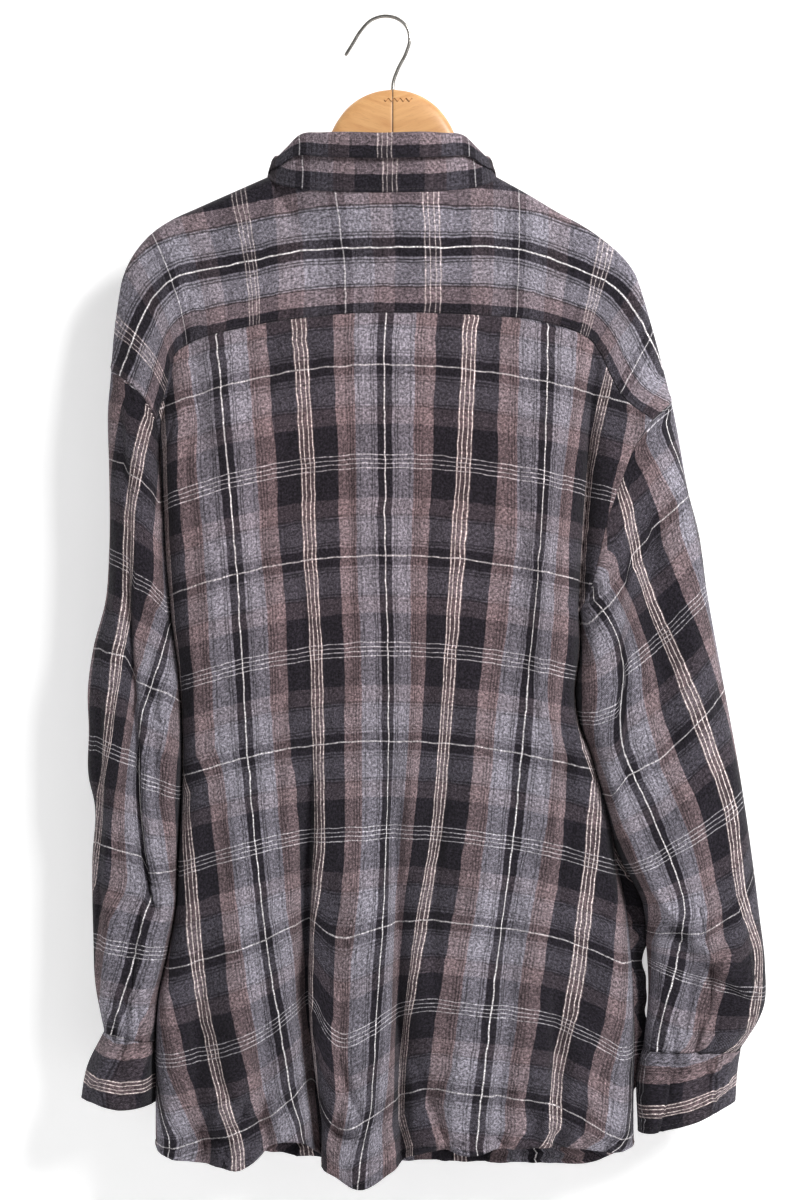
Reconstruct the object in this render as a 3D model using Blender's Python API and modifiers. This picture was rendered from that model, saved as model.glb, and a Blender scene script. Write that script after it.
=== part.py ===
"""Plaid flannel shirt, size 3XL, on a shaped wooden hanger, its back towards +Y.

The frame is the hanger's own plane: X to the wearer's left, Z up, origin where the hook hangs.
Each cloth piece is a patch of that plane, lifted to its depth behind or in front of the hanger
and given a wall. Tables and lengths are in millimetres; points turn to metres as meshes are made.
"""

from math import cos, pi, radians, sin

import bmesh
import bpy
import numpy as np
from mathutils import Vector

MM = 0.001

# Driving sizes
CLOTH = 1.4
SEAM_GAP = 0.42
SIDE_SEAM_Y = 0.9
BAND = 1.2
BAND_STEP = 2.0
CUFF_WALL = 2.0
HEM_DROP = 1001.0
SHOULDER_COLUMNS = 14
NECK_COLUMNS = 15
FRONT_NECK_COLUMNS = 5
YOKE_ROWS = (0, 0.035, 0.1, 0.3, 0.54, 0.78, 1)
FLAP_ROWS = (0, 0.12, 0.45, 1)
SIDE_ROWS = 12
SLEEVE_COLUMNS = 10
SLEEVE_ROWS = 15
SLEEVE_PLACKET_ROWS = 5
SLEEVE_SEAM_REACH = 70.0
UNDERARM_REACH = 25.0
BODY_EDGE_REACH = 24.0
CUFF_ROWS = 2
CUFF_SEAM_GAP = 0.3
PLACKET_COLUMNS = 4

# Points along the smooth lines that the panels are measured from
EDGE_POINTS = 90
SLEEVE_EDGE_POINTS = 60
CUFF_EDGE_POINTS = 8
FOLD_POINTS = 20
SEAM_POINTS = 200
SLEEVE_LINE_POINTS = 400
CUFF_LINE_POINTS = 40

# Widths over which one form passes into the next
SLEEVE_EDGE_BLEND = 90.0
RIM_BLEND = 80.0
FOLD_FADE = 20.0
NECK_BLEND_SIDE = 8.0
NECK_BLEND_MIDDLE = 66.0

COLLAR_HALF_WIDTH = 100.0
COLLAR_HALF_DEPTH = 40.0
COLLAR_CENTRE = (1.5, -2.0)
COLLAR_STAND_SHARE = 0.66
COLLAR_WRAP = 1.1
STAND_FOOT = 0.95
SHOULDER_LIFT = 1.6
SHOULDER_ANGLE = 95.0
SHOULDER_SPREAD = 32.0
STAND_ROWS = 2
STAND_LEAF_GAP = (0.3, 0.4)
LEAF_ROLL = 4.2
LEAF_END = 172.0
COLLAR_COLUMNS = 44
COLLAR_OVERLAP = 6.0

PLACKET_WIDTH = 35.0
FRONT_OVERLAP_STEP = 3.7
FRONT_OVERLAP_FROM = -45.0
FRONT_OVERLAP_RUN = 24.0
BUTTON_DIAMETER = 11.0
BUTTON_THICKNESS = 2.4
BUTTON_REST = 0.35
BUTTON_SEGMENTS = 14
BUTTON_TAPER = 0.93
CUFF_BUTTON_ACROSS = 0.3
CUFF_BUTTON_DOWN = 0.5
STAND_BUTTON_OUT = CLOTH / 2
STAND_BUTTON_HEIGHT = 12.0
FRONT_BUTTONS = 7
FRONT_BUTTON_PITCH = 92.0
FRONT_BUTTON_TOP = -300.0

HANGER_CENTRE = -7.6
HANGER_BLOCK_STATIONS = 14
HANGER_ARM_STATIONS = 12
HANGER_SIDES = 12
HANGER_SQUARENESS = 0.75
HOOK_WIRE = 3.3

# The shirt's outline from the neck along the shoulder, round the hanger's end and down the
# outer edge of the sleeve to the cuff seam: x, z
OUTLINE_LEFT = [
    (101.5, -141), (131, -154), (166, -169.5), (189, -180), (205.5, -191), (220, -207),
    (231, -228), (236, -253), (241, -296), (242, -313), (245, -348), (244, -400), (244, -475),
    (247, -517), (258, -560), (263, -600), (262, -630), (262, -675), (257, -697), (259, -750),
    (258, -815), (256, -860), (248, -900),
]
OUTLINE_RIGHT = [
    (-98.5, -141), (-129, -158), (-154, -173), (-179.5, -187), (-197, -199.5), (-211.5, -212.5),
    (-222.5, -227), (-228, -242.5), (-237, -273), (-245.5, -304), (-255, -342), (-260, -367),
    (-270, -422), (-279, -457), (-286, -507), (-299, -580), (-315, -668), (-327, -749),
    (-333, -797), (-338, -841), (-337, -878), (-316, -915),
]

# The armhole seam from the outline to the underarm, the same on the back and the front: x, z
ARMHOLE_LEFT = [
    (242, -313), (226, -325), (210, -341), (201.5, -359), (198.5, -378), (196.2, -425),
    (194, -473),
]
ARMHOLE_RIGHT = [
    (-255, -342), (-236, -359), (-222, -380), (-208, -415), (-196, -449), (-190, -475),
    (-182, -507), (-173, -528),
]
# Where the yoke's back and front seams meet the armhole seam
YOKE_CORNER_LEFT = (201.5, -359)
YOKE_CORNER_RIGHT = (-236, -359)
FLAP_CORNER_LEFT = (226, -325)
FLAP_CORNER_RIGHT = (-241, -354)

# Edge of the body, from the top of the fold beside the hanger's end to the hem: x, z
BODY_EDGE_LEFT = [
    (187, -239), (185, -280), (187, -306), (191, -335), (197, -362), (198, -385), (196, -425),
    (194, -473), (189, -530), (181, -592), (178.5, -655), (182, -735), (185, -792), (192, -830),
    (200, -865), (203, -905), (202.5, -957), (202.5, -HEM_DROP),
]
BODY_EDGE_RIGHT = [
    (-195.5, -244), (-191, -269), (-188, -294), (-186, -318), (-183, -349), (-179.5, -424),
    (-176, -476), (-173, -528), (-174, -557), (-169.5, -605), (-174, -631), (-183, -651),
    (-189, -672), (-199, -706), (-207, -756), (-213, -782), (-218, -824), (-221, -869),
    (-222, -913), (-221, -957), (-221, -HEM_DROP),
]
# Inner edge of each sleeve below the underarm, to the cuff seam: x, z
SLEEVE_INNER_LEFT = [
    (196.5, -473), (191.8, -530), (183.8, -592), (181.3, -655), (184.8, -735), (187.8, -792),
    (195, -830), (203, -865), (206.5, -907),
]
SLEEVE_INNER_RIGHT = [
    (-175.5, -528), (-177, -557), (-173, -605), (-177.5, -631), (-186, -651), (-192.5, -672),
    (-203, -706), (-213, -740), (-223, -760), (-232, -778), (-234, -824), (-235, -869),
    (-230.5, -915),
]
CUFF_OUTER_LEFT = [(248, -900), (264, -934), (268, -958)]
CUFF_INNER_LEFT = [(206.5, -907), (206.5, -932), (206, -962)]
CUFF_OUTER_RIGHT = [(-316, -915), (-314, -928), (-311, -960)]
CUFF_INNER_RIGHT = [(-230.5, -915), (-226.5, -930), (-226, -988)]
CUFF_END_DIP = 9.0

# The yoke, by distance along the cloth from its middle: s, top x, top z, seam x, seam z.
# The top is the neck seam between the two rows at the neck, and the shoulder line outside them.
YOKE = [
    (312, 242, -313, 201.5, -359), (274, 235, -272, 192, -330), (235, 226, -217, 186.6, -305),
    (196, 205.5, -191, 174, -292), (117, 129, -153, 113.5, -275), (88, 101.5, -141, 95, -270.5),
    (39, 43, -156, 34, -261), (-1, 1.5, -158.5, -1, -256.5), (-40, -41, -157, -43, -256.5),
    (-92, -98.5, -141, -97, -265), (-120, -121, -154, -118, -268.5),
    (-198, -199, -201, -177, -285), (-237, -228, -244, -190, -299),
    (-277, -239, -281, -209, -337), (-316, -255, -342, -236, -359),
]
YOKE_NECK_LEFT = 88
YOKE_NECK_RIGHT = -92

# Front yoke seam, from the armhole to the neck: x, z
FRONT_YOKE_LEFT = [
    (222, -290), (212, -255), (196, -222), (166, -202), (131, -184), (94.5, -160),
]
FRONT_YOKE_RIGHT = [
    (-232, -325), (-218, -290), (-203, -250), (-185, -222), (-154, -203), (-129, -186),
    (-91.5, -160),
]

# Neck seam round the collar: degrees from the centre back, z, height of the roll above it,
# lean of the roll towards the neck, height of the leaf below the roll, stand-off of its edge
NECK = [
    (0, -158.5, 50.5, 1, 23, 3.2), (30, -156.5, 50, 3, 22, 3.2), (48, -153, 46, 7, 19, 3.2),
    (64, -149, 32, 9, 15, 3.2), (78, -144.8, 22, 9, 12, 3.2), (92, -140.2, 17, 7, 14, 3.6),
    (112, -160, 24, 3, 26, 6), (140, -184, 32, 1, 38, 6), (165, -201, 35, 0, 62, 6),
    (180, -206, 35, 0, 40, 6),
]

# Section of the leaf beyond its seam: widths of the roll outwards and down, then shares of the
# leaf's stand-off and of its fall
LEAF_SECTION = [(0, 0.6, 0, 0), (0.45, 0, 0, 0), (1, 0.6, 0, 0), (1, 0, 0.5, 0.55), (1, 0, 1, 1)]

# Hem of the back, left to right: x, z
HEM_BACK = [
    (202.5, -HEM_DROP), (185, -1007), (149, -1013), (127, -1018), (112, -1008), (97, -995),
    (75, -994), (59, -1006), (39, -1026), (24, -1034), (-6, -1019), (-26, -1007), (-48, -1000),
    (-75, -1003), (-102, -1001), (-155, -998), (-190, -1000), (-221, -HEM_DROP),
]
# Hem of the fronts: x, z
HEM_FRONT = [
    (202.5, -HEM_DROP), (150, -1008), (80, -1014), (20, -1019), (-40, -1020), (-100, -1020),
    (-165, -1025), (-192, -1022), (-212, -1010), (-221, -HEM_DROP),
]

# Depth of the back and of the front from the hanger's plane, by height: z, back, front
DEPTH = [
    (-1040, 31, 23), (-900, 28, 20), (-700, 25, 17), (-520, 24, 16), (-360, 23, 15),
    (-260, 20, 14), (-200, 16, 13), (-140, 12, 12),
]
# Rounding of the outline, by height: z, depth there, width of the rounding, front depth
ROUNDING = [
    (-990, 35, 33, 30), (-905, 33, 26, 27), (-800, 30, 30, 22), (-600, 31, 30, 22),
    (-450, 31, 30, 22), (-300, 25, 24, 20), (-240, 16, 15, 15), (-205, 12, 10, 12),
    (-140, 11, 10, 11),
]
# How far the fold between body and sleeve is closed, by height: z, share
FOLD_CLOSED = [(-1040, 1), (-528, 1), (-470, 0.97), (-370, 0.8), (-300, 0.45), (-262, 0.15), (-236, 0)]
FOLD_ROUNDING_BODY = 20.0
FOLD_ROUNDING_SLEEVE = 17.0
FOLD_SLACK = 10.0

# Largest folds of the back: path of x, z and height of the ridge (a trough is negative), then
# the width on the +X side and on the -X side
BACK_FOLDS = [
    dict(path=[(63, -540, 0), (63, -640, -7), (62, -780, -19), (62, -900, -31), (60, -1035, -37)],
         wide=(9, 8)),
    dict(path=[(-5, -610, 0), (-8, -700, -8), (-12, -850, -16), (-17, -1035, -23)], wide=(8, 9)),
    dict(path=[(28, -620, 0), (26, -760, 5), (22, -900, 8), (20, -1035, 9)], wide=(22, 18)),
    dict(path=[(-110, -690, 0), (-108, -800, -5), (-102, -920, -9), (-98, -1035, -11)],
         wide=(10, 14)),
    dict(path=[(-150, -820, 0), (-150, -900, -7), (-151, -1035, -10)], wide=(8, 10)),
    dict(path=[(104, -800, 0), (107, -900, -7), (103, -1035, -11)], wide=(9, 9)),
    dict(path=[(132, -620, 0), (128, -780, 5), (126, -1035, 8)], wide=(18, 14)),
    dict(path=[(-76, -560, 0), (-82, -760, 4), (-72, -1035, 6)], wide=(22, 20)),
    dict(path=[(182, -243, 0), (173, -292, -6), (168, -316, -7), (164, -350, -5), (158, -410, 0)],
         wide=(8, 13)),
    dict(path=[(150, -250, 0), (140, -330, 4), (142, -470, 5), (150, -640, 0)], wide=(20, 22)),
    dict(path=[(-130, -300, 0), (-140, -420, 4), (-138, -600, 4), (-130, -760, 0)], wide=(18, 20)),
]
SLEEVE_FOLDS = [
    dict(path=[(-178, -620, 0), (-196, -662, 5), (-212, -728, 10), (-228, -754, 12),
               (-255, -790, 12), (-281, -817, 12), (-305, -841, 10), (-334, -874, 0)],
         wide=(5, 30)),
    dict(path=[(-224, -380, 0), (-230, -450, -5), (-240, -560, -6), (-262, -700, 0)], wide=(12, 16)),
    dict(path=[(-262, -900, 0), (-268, -870, -5), (-276, -842, -4), (-284, -828, 0)], wide=(8, 8)),
    dict(path=[(236, -335, 0), (236, -420, -6), (240, -520, -8), (247, -640, -10), (248, -760, -9),
               (246, -870, -5), (240, -900, 0)], wide=(7, 9)),
    dict(path=[(221, -420, 0), (219, -560, 4), (216, -700, 5), (212, -800, 5), (206, -850, 0)],
         wide=(14, 12)),
]
# Largest folds of the wall side, in the same way
FRONT_FOLDS = [
    dict(path=[(96, -330, 0), (100, -500, -5), (104, -760, -8), (100, -1035, -10)], wide=(14, 12)),
    dict(path=[(150, -420, 0), (146, -640, 5), (140, -1035, 7)], wide=(18, 18)),
    dict(path=[(48, -420, 0), (52, -700, -4), (50, -1035, -7)], wide=(12, 12)),
    dict(path=[(-84, -340, 0), (-90, -560, -5), (-98, -800, -8), (-104, -1035, -10)],
         wide=(12, 14)),
    dict(path=[(-140, -460, 0), (-150, -700, 5), (-160, -1035, 7)], wide=(18, 18)),
    dict(path=[(-262, -480, 0), (-270, -600, -6), (-286, -760, -6), (-300, -850, 0)],
         wide=(14, 14)),
    dict(path=[(222, -430, 0), (224, -600, -6), (226, -760, -6), (226, -880, 0)], wide=(12, 12)),
]

# Each half of the hanger, from the joint to the tip: distance, height above the shoulder line or,
# up to the neck, top z; bottom below that; half thickness
HANGER_BLOCK = [
    (0.2, -63.5, 88, 8), (14, -65.5, 86, 8), (28, -71, 79, 8), (40, -80, 69, 8),
    (50, -93, 57, 7.8), (58, -110, 43, 7.6), (66, -125, 33, 7.2), (78, -139, 27, 6.6),
    (90, -147, 25, 6),
]
HANGER_ARM = [
    (100, 25, 6.3), (140, 24, 6.3), (175, 22, 6.2), (200, 17, 5.6), (209, 11, 4.4), (214, 5, 2.8),
]
HANGER_ARM_FROM = 106.0
HANGER_CLEARANCE = 1.35
# Wire of the hook, from inside the wood to its end: x, z
HOOK = [
    (-7.6, -63.9), (-8, -58), (-12, -46), (-19.5, -31), (-22.6, -20), (-20.6, -9), (-12.5, -1),
    (0, 1.65), (11.5, -2), (20.5, -11), (28, -23), (34.5, -33.5),
]
HOOK_POINTS = 34


def read(table, at):
    """A table's columns at the given keys, on a smooth cubic between its rows."""
    rows = np.array(sorted(table), float)
    keys = rows[:, 0]
    values = rows[:, 1:]
    slopes = np.gradient(values, keys, axis=0)
    at = np.clip(np.asarray(at, float), keys[0], keys[-1])
    cell = np.clip(np.searchsorted(keys, at) - 1, 0, len(keys) - 2)
    step = (keys[cell + 1] - keys[cell])[..., None]
    t = (at - keys[cell])[..., None] / step
    start = values[cell] * (1 + 2 * t) * (1 - t) ** 2 + slopes[cell] * step * t * (1 - t) ** 2
    end = values[cell + 1] * (3 - 2 * t) * t ** 2 - slopes[cell + 1] * step * (1 - t) * t ** 2
    return start + end


def lengths(points):
    """Distance run along a line of points."""
    steps = np.linalg.norm(np.diff(points, axis=0), axis=1)
    return np.concatenate([[0], np.cumsum(steps)])


def at_shares(points, shares, values=None):
    """Points at the given shares of a line's length, or the values that go with them."""
    run = lengths(points)
    at = np.asarray(shares) * run[-1]
    values = points if values is None else values
    return np.stack([np.interp(at, run, column) for column in values.T], axis=1)


def respaced(points, count):
    """The same line as count + 1 points, evenly apart."""
    return at_shares(points, np.linspace(0, 1, count + 1))


def smooth_line(points, count):
    """A smooth curve through the points, as count + 1 points evenly apart."""
    points = np.array(points, float)
    run = lengths(points)
    table = [(key, *row) for key, row in zip(run, points)]
    return respaced(read(table, np.linspace(0, run[-1], 12 * len(points))), count)


def smoothstep(t):
    t = np.clip(t, 0, 1)
    return t * t * (3 - 2 * t)


def quarter_round(distance, width):
    """From 0 at the edge to 1 at the given width, on a quarter circle."""
    t = np.clip(distance / width, 0, 1)
    return np.sqrt(np.clip(1 - (1 - t) ** 2, 0, 1))


def distance_to(line, x, z):
    """Distance of each point from a line of points, its signed side and the place along it."""
    start = line[:-1, :2]
    step = np.diff(line[:, :2], axis=0)
    px = x[..., None] - start[:, 0]
    pz = z[..., None] - start[:, 1]
    t = np.clip((px * step[:, 0] + pz * step[:, 1]) / (step ** 2).sum(1), 0, 1)
    gap = np.hypot(px - t * step[:, 0], pz - t * step[:, 1])
    nearest = gap.argmin(-1)[..., None]
    side = step[:, 0] * pz - step[:, 1] * px
    along = np.take_along_axis(t, nearest, -1)[..., 0] + nearest[..., 0]
    return (
        np.take_along_axis(gap, nearest, -1)[..., 0],
        np.take_along_axis(side, nearest, -1)[..., 0],
        along,
    )


def fold_height(folds, x, z):
    """Sum of the ridges and troughs at each point."""
    total = np.zeros_like(x)
    for fold in folds:
        line = smooth_line(fold["path"], FOLD_POINTS)
        gap, side, along = distance_to(line, x, z)
        height = np.interp(along, np.arange(len(line)), line[:, 2])
        width = np.where(side > 0, fold["wide"][0], fold["wide"][1])
        total += height * np.exp(-((gap / width) ** 2))
    return total


OUTLINES = [
    np.vstack([smooth_line(outline, EDGE_POINTS), smooth_line(cuff, CUFF_EDGE_POINTS)[1:]])
    for outline, cuff in ((OUTLINE_LEFT, CUFF_OUTER_LEFT), (OUTLINE_RIGHT, CUFF_OUTER_RIGHT))
]
BODY_EDGES = [smooth_line(edge, EDGE_POINTS) for edge in (BODY_EDGE_LEFT, BODY_EDGE_RIGHT)]


def sleeve_edge(body_edge, inner, cuff_inner):
    """The fold beside the body, then the sleeve's inner edge down to the end of the cuff."""
    above = body_edge[body_edge[:, 1] > inner[0][1] + 1]
    away = inner[0][0] - np.interp(inner[0][1], body_edge[::-1, 1], body_edge[::-1, 0])
    above = above + np.outer(smoothstep((above[0, 1] - above[:, 1]) / SLEEVE_EDGE_BLEND), (away, 0))
    sleeve = smooth_line(inner, SLEEVE_EDGE_POINTS)
    return np.vstack([above, sleeve, smooth_line(cuff_inner, CUFF_EDGE_POINTS)[1:]])


SLEEVE_EDGES = [
    sleeve_edge(BODY_EDGES[0], SLEEVE_INNER_LEFT, CUFF_INNER_LEFT),
    sleeve_edge(BODY_EDGES[1], SLEEVE_INNER_RIGHT, CUFF_INNER_RIGHT),
]


def nearest_gap(lines, x, z):
    return np.minimum(distance_to(lines[0], x, z)[0], distance_to(lines[1], x, z)[0])


def neck_edge(x, front):
    """Height and depth of the neck seam above a given x, inside the collar's width."""
    across = np.clip((x - COLLAR_CENTRE[0]) / COLLAR_HALF_WIDTH, -1, 1)
    angle = np.degrees(np.arcsin(np.abs(across)))
    angle = 180 - angle if front else angle
    z = read(NECK, angle)[..., 0]
    return z, COLLAR_CENTRE[1] + COLLAR_HALF_DEPTH * np.cos(np.radians(angle))


def depth(x, z, front=False, sleeve=False):
    """How far the cloth stands from the hanger's plane: +Y at the back, -Y at the front."""
    base = read(DEPTH, z)[..., 1 if front else 0]
    rounding = read(ROUNDING, z)
    rim = rounding[..., 2 if front else 0]
    gap = nearest_gap(OUTLINES, x, z)
    height = rim * quarter_round(gap, rounding[..., 1])
    height = height + np.maximum(base - rim, 0) * smoothstep(gap / RIM_BLEND)
    if front:
        folds = FRONT_FOLDS
    else:
        folds = SLEEVE_FOLDS if sleeve else BACK_FOLDS
    height = height + fold_height(folds, x, z) * quarter_round(gap, FOLD_FADE)
    closed = read(FOLD_CLOSED, z)[..., 0]
    fold_gap = nearest_gap(SLEEVE_EDGES if sleeve else BODY_EDGES, x, z)
    fold_width = FOLD_ROUNDING_SLEEVE if sleeve else FOLD_ROUNDING_BODY
    slack = FOLD_SLACK * (1 - closed)
    height = height * (1 - closed * (1 - quarter_round(fold_gap + slack, fold_width + slack)))
    y = -height if front else height
    across = np.clip(np.abs(x - COLLAR_CENTRE[0]) / COLLAR_HALF_WIDTH, 0, 1)
    top_z, top_y = neck_edge(x, front)
    t = np.clip((top_z - z) / (NECK_BLEND_SIDE + NECK_BLEND_MIDDLE * (1 - across ** 2)), 0, 1)
    share = (1 - across ** 4) * smoothstep(t) + across ** 4 * quarter_round(t, 1)
    return np.where(across < 1, top_y + (y - top_y) * share, y)


def lifted(points, front=False, sleeve=False):
    """A grid of x, z turned into a grid of x, y, z."""
    y = depth(points[..., 0], points[..., 1], front, sleeve)
    return np.stack([points[..., 0], y, points[..., 1]], axis=-1)


def patch(top, bottom, left, right):
    """A grid between four sides that meet at their ends; top and bottom run from left to right."""
    u = (lengths(top) / lengths(top)[-1] + lengths(bottom) / lengths(bottom)[-1]) / 2
    v = (lengths(left) / lengths(left)[-1] + lengths(right) / lengths(right)[-1]) / 2
    u = u[None, :, None]
    v = v[:, None, None]
    across = (1 - u) * left[:, None] + u * right[:, None]
    down = (1 - v) * top[None] + v * bottom[None]
    start = (1 - u) * top[0] + u * top[-1]
    end = (1 - u) * bottom[0] + u * bottom[-1]
    return across + down - (1 - v) * start - v * end


def evened(grid):
    """Each row below the first spaced evenly along the cloth, so that folds get their share."""
    return np.array([grid[0], *(respaced(row, len(row) - 1) for row in grid[1:])])


def drawn_back(grid, sides, gap=SEAM_GAP / 2):
    """The grid with the named sides pulled in by half a seam's gap."""
    grid = grid.copy()
    turned = grid.transpose(1, 0, 2)
    views = dict(top=grid, bottom=grid[::-1], left=turned, right=turned[::-1])
    for side in sides:
        view = views[side]
        edge = np.gradient(view[0], axis=0)
        edge /= np.linalg.norm(edge, axis=-1, keepdims=True)
        step = view[1] - view[0]
        step -= (step * edge).sum(-1, keepdims=True) * edge
        view[0] += gap * step / np.linalg.norm(step, axis=-1, keepdims=True)
    return grid


def normals(grid, outward):
    """Unit normals of a grid of points; outward is the sign of their Y."""
    found = np.cross(np.gradient(grid, axis=0), np.gradient(grid, axis=1))
    found /= np.linalg.norm(found, axis=-1, keepdims=True)
    return found * np.sign(found[..., 1:2]) * outward


def material(name, colour, roughness, metallic=0.0):
    made = bpy.data.materials.new(name)
    made.use_nodes = True
    shader = made.node_tree.nodes["Principled BSDF"]
    shader.inputs["Base Color"].default_value = (*colour, 1)
    shader.inputs["Roughness"].default_value = roughness
    shader.inputs["Metallic"].default_value = metallic
    return made


def add_cloth(name, grids, thickness=CLOTH):
    """Grids of points, joined where they share points and given a wall; a turned grid faces -Y."""
    form = bmesh.new()
    for grid, turned in grids:
        points = [[form.verts.new(MM * point) for point in row] for row in grid]
        for upper, lower in zip(points, points[1:]):
            for i in range(len(upper) - 1):
                corners = [upper[i], lower[i], lower[i + 1], upper[i + 1]]
                form.faces.new(corners[::-1] if turned else corners)
    bmesh.ops.remove_doubles(form, verts=form.verts, dist=1e-6)
    bmesh.ops.triangulate(form, faces=form.faces, quad_method="BEAUTY")
    mesh = bpy.data.meshes.new(name)
    form.to_mesh(mesh)
    form.free()
    mesh.materials.append(flannel)
    mesh.shade_smooth()
    made = bpy.data.objects.new(name, mesh)
    shirt.objects.link(made)
    wall = made.modifiers.new("Cloth wall", "SOLIDIFY")
    wall.thickness = thickness * MM
    wall.offset = 0
    return made


def armhole(points, corner, yoke_rows, armhole_rows):
    """The armhole seam in two stretches: along the yoke's end, then down to the underarm."""
    line = smooth_line(points, SEAM_POINTS)
    split = np.hypot(*(line - corner).T).argmin()
    return at_shares(line[: split + 1], yoke_rows), respaced(line[split:], armhole_rows)


def halved(points):
    """The same points with one more between each two."""
    between = (points[1:] + points[:-1]) / 2
    return np.insert(points, np.arange(1, len(points)), between, axis=0)


def side_seam(edge, underarm):
    """The body's edge from the underarm to the hem."""
    below = edge[edge[:, 1] < underarm[1] - 1]
    return respaced(np.vstack([[underarm], below]), SIDE_ROWS)


SIDES = [
    dict(name="left", armhole=ARMHOLE_LEFT, corner=YOKE_CORNER_LEFT, flap=FLAP_CORNER_LEFT,
         front_yoke=FRONT_YOKE_LEFT, outline=OUTLINE_LEFT, inner=SLEEVE_INNER_LEFT,
         cuff_outer=CUFF_OUTER_LEFT, cuff_inner=CUFF_INNER_LEFT, armhole_rows=7, head_rows=6,
         back_corner=5, front_corner=6, placket_columns=slice(9, 14)),
    dict(name="right", armhole=ARMHOLE_RIGHT, corner=YOKE_CORNER_RIGHT, flap=FLAP_CORNER_RIGHT,
         front_yoke=FRONT_YOKE_RIGHT, outline=OUTLINE_RIGHT, inner=SLEEVE_INNER_RIGHT,
         cuff_outer=CUFF_OUTER_RIGHT, cuff_inner=CUFF_INNER_RIGHT, armhole_rows=12, head_rows=8,
         back_corner=0, front_corner=8, placket_columns=slice(2, 5)),
]


def yoke_columns():
    """Distances along the yoke of its columns, with one on each side of the neck."""
    left = np.linspace(YOKE[0][0], YOKE_NECK_LEFT, SHOULDER_COLUMNS + 1)
    neck = np.linspace(YOKE_NECK_LEFT, YOKE_NECK_RIGHT, NECK_COLUMNS + 1)
    right = np.linspace(YOKE_NECK_RIGHT, YOKE[-1][0], SHOULDER_COLUMNS + 1)
    return np.concatenate([left, neck[1:], right[1:]])


def settle_sides():
    """The seam lines that neighbouring pieces share, worked out once for both sides."""
    rows = read(YOKE, yoke_columns())
    top = rows[:, :2]
    seam = rows[:, 2:]
    neck = slice(SHOULDER_COLUMNS, SHOULDER_COLUMNS + NECK_COLUMNS + 1)
    top[neck, 1] = neck_edge(top[neck, 0], False)[0]
    shoulders = [np.arange(SHOULDER_COLUMNS + 1), np.arange(len(top) - 1, neck.stop - 2, -1)]
    for side, shoulder, outline, edge in zip(SIDES, shoulders, OUTLINES, BODY_EDGES):
        for i in shoulder:
            top[i] = outline[np.hypot(*(outline - top[i]).T).argmin()]
        rows = side["armhole_rows"]
        side["back_yoke"], side["back_arm"] = armhole(side["armhole"], side["corner"], YOKE_ROWS, rows)
        side["front_flap"], side["front_arm"] = armhole(side["armhole"], side["flap"], FLAP_ROWS, rows)
        side["side"] = side_seam(edge, side["back_arm"][-1])
        end = shoulder[0]
        top[end] = side["back_yoke"][0]
        seam[end] = side["back_yoke"][-1]
        side["shoulder"] = shoulder
        side["ridge"] = top[shoulder]
        front = smooth_line([side["front_flap"][-1], *side["front_yoke"]], SHOULDER_COLUMNS)
        reach = front[-1][0] - side["ridge"][-1][0]
        neck_x = side["ridge"][-1][0] + reach * np.array(FLAP_ROWS)
        neck_line = np.stack([neck_x, neck_edge(neck_x, True)[0]], axis=1)
        neck_line[0] = side["ridge"][-1]
        front[-1] = neck_line[-1]
        side["front_seam"] = front
        side["flap_neck"] = neck_line
    return top, seam


def build_yoke(top, seam):
    back = lifted(patch(top, seam, SIDES[0]["back_yoke"], SIDES[1]["back_yoke"]))
    for side in SIDES:
        back[0, side["shoulder"], 1] = 0
    back = drawn_back(drawn_back(back, ["bottom"], SEAM_GAP), ["left", "right"])
    grids = [(back, False)]
    for side, turned in zip(SIDES, (True, False)):
        flap = lifted(patch(side["ridge"], side["front_seam"], side["front_flap"],
                            side["flap_neck"]), front=True)
        flap = drawn_back(flap, ["bottom", "left"])
        flap[0] = back[0, side["shoulder"]]
        grids.append((flap, turned))
    add_cloth("yoke", grids)


def build_back_panel(seam):
    """A steep end of the yoke seam belongs to the panel's side, so that its corner is square."""
    left_corner, right_corner = [side["back_corner"] for side in SIDES]
    seam_ends = (seam[left_corner:0:-1], seam[len(seam) - 1 - right_corner : len(seam) - 1])
    left, right = [np.vstack([end, side["back_arm"], side["side"][1:]])
                   for end, side in zip(seam_ends, SIDES)]
    top = seam[left_corner : len(seam) - right_corner]
    hem = smooth_line(HEM_BACK, len(top) - 1)
    hem[[0, -1]] = left[-1], right[-1]
    grid = evened(lifted(patch(top, hem, left, right)))
    grid[-SIDE_ROWS - 1 :, [0, -1], 1] = SIDE_SEAM_Y
    add_cloth("back_panel", [(drawn_back(grid, ["top", "left", "right"]), False)])


def build_front(side, turned, centre_x):
    neck_x = np.linspace(side["front_seam"][-1][0], centre_x, FRONT_NECK_COLUMNS + 1)[1:]
    neck = np.stack([neck_x, neck_edge(neck_x, True)[0]], axis=1)
    corner = side["front_corner"]
    top = np.vstack([side["front_seam"][corner:], neck])
    edge = np.vstack([side["front_seam"][corner:0:-1], side["front_arm"], side["side"][1:]])
    hem_rows = read(HEM_FRONT, np.linspace(edge[-1][0], centre_x, len(top)))
    hem = np.stack([np.linspace(edge[-1][0], centre_x, len(top)), hem_rows[:, 0]], axis=1)
    hem[0] = edge[-1]
    centre = np.linspace(neck[-1], hem[-1], len(edge))
    grid = lifted(patch(top, hem, edge, centre), front=True)
    if turned is False:
        along = (grid[..., 0] - FRONT_OVERLAP_FROM) / FRONT_OVERLAP_RUN
        grid[..., 1] += FRONT_OVERLAP_STEP * smoothstep(along)
    grid = evened(grid)
    grid[-SIDE_ROWS - 1 :, 0, 1] = -SIDE_SEAM_Y
    grid = drawn_back(grid, ["top", "left"])
    add_cloth("front_" + side["name"], [(grid, turned)])
    return grid


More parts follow.
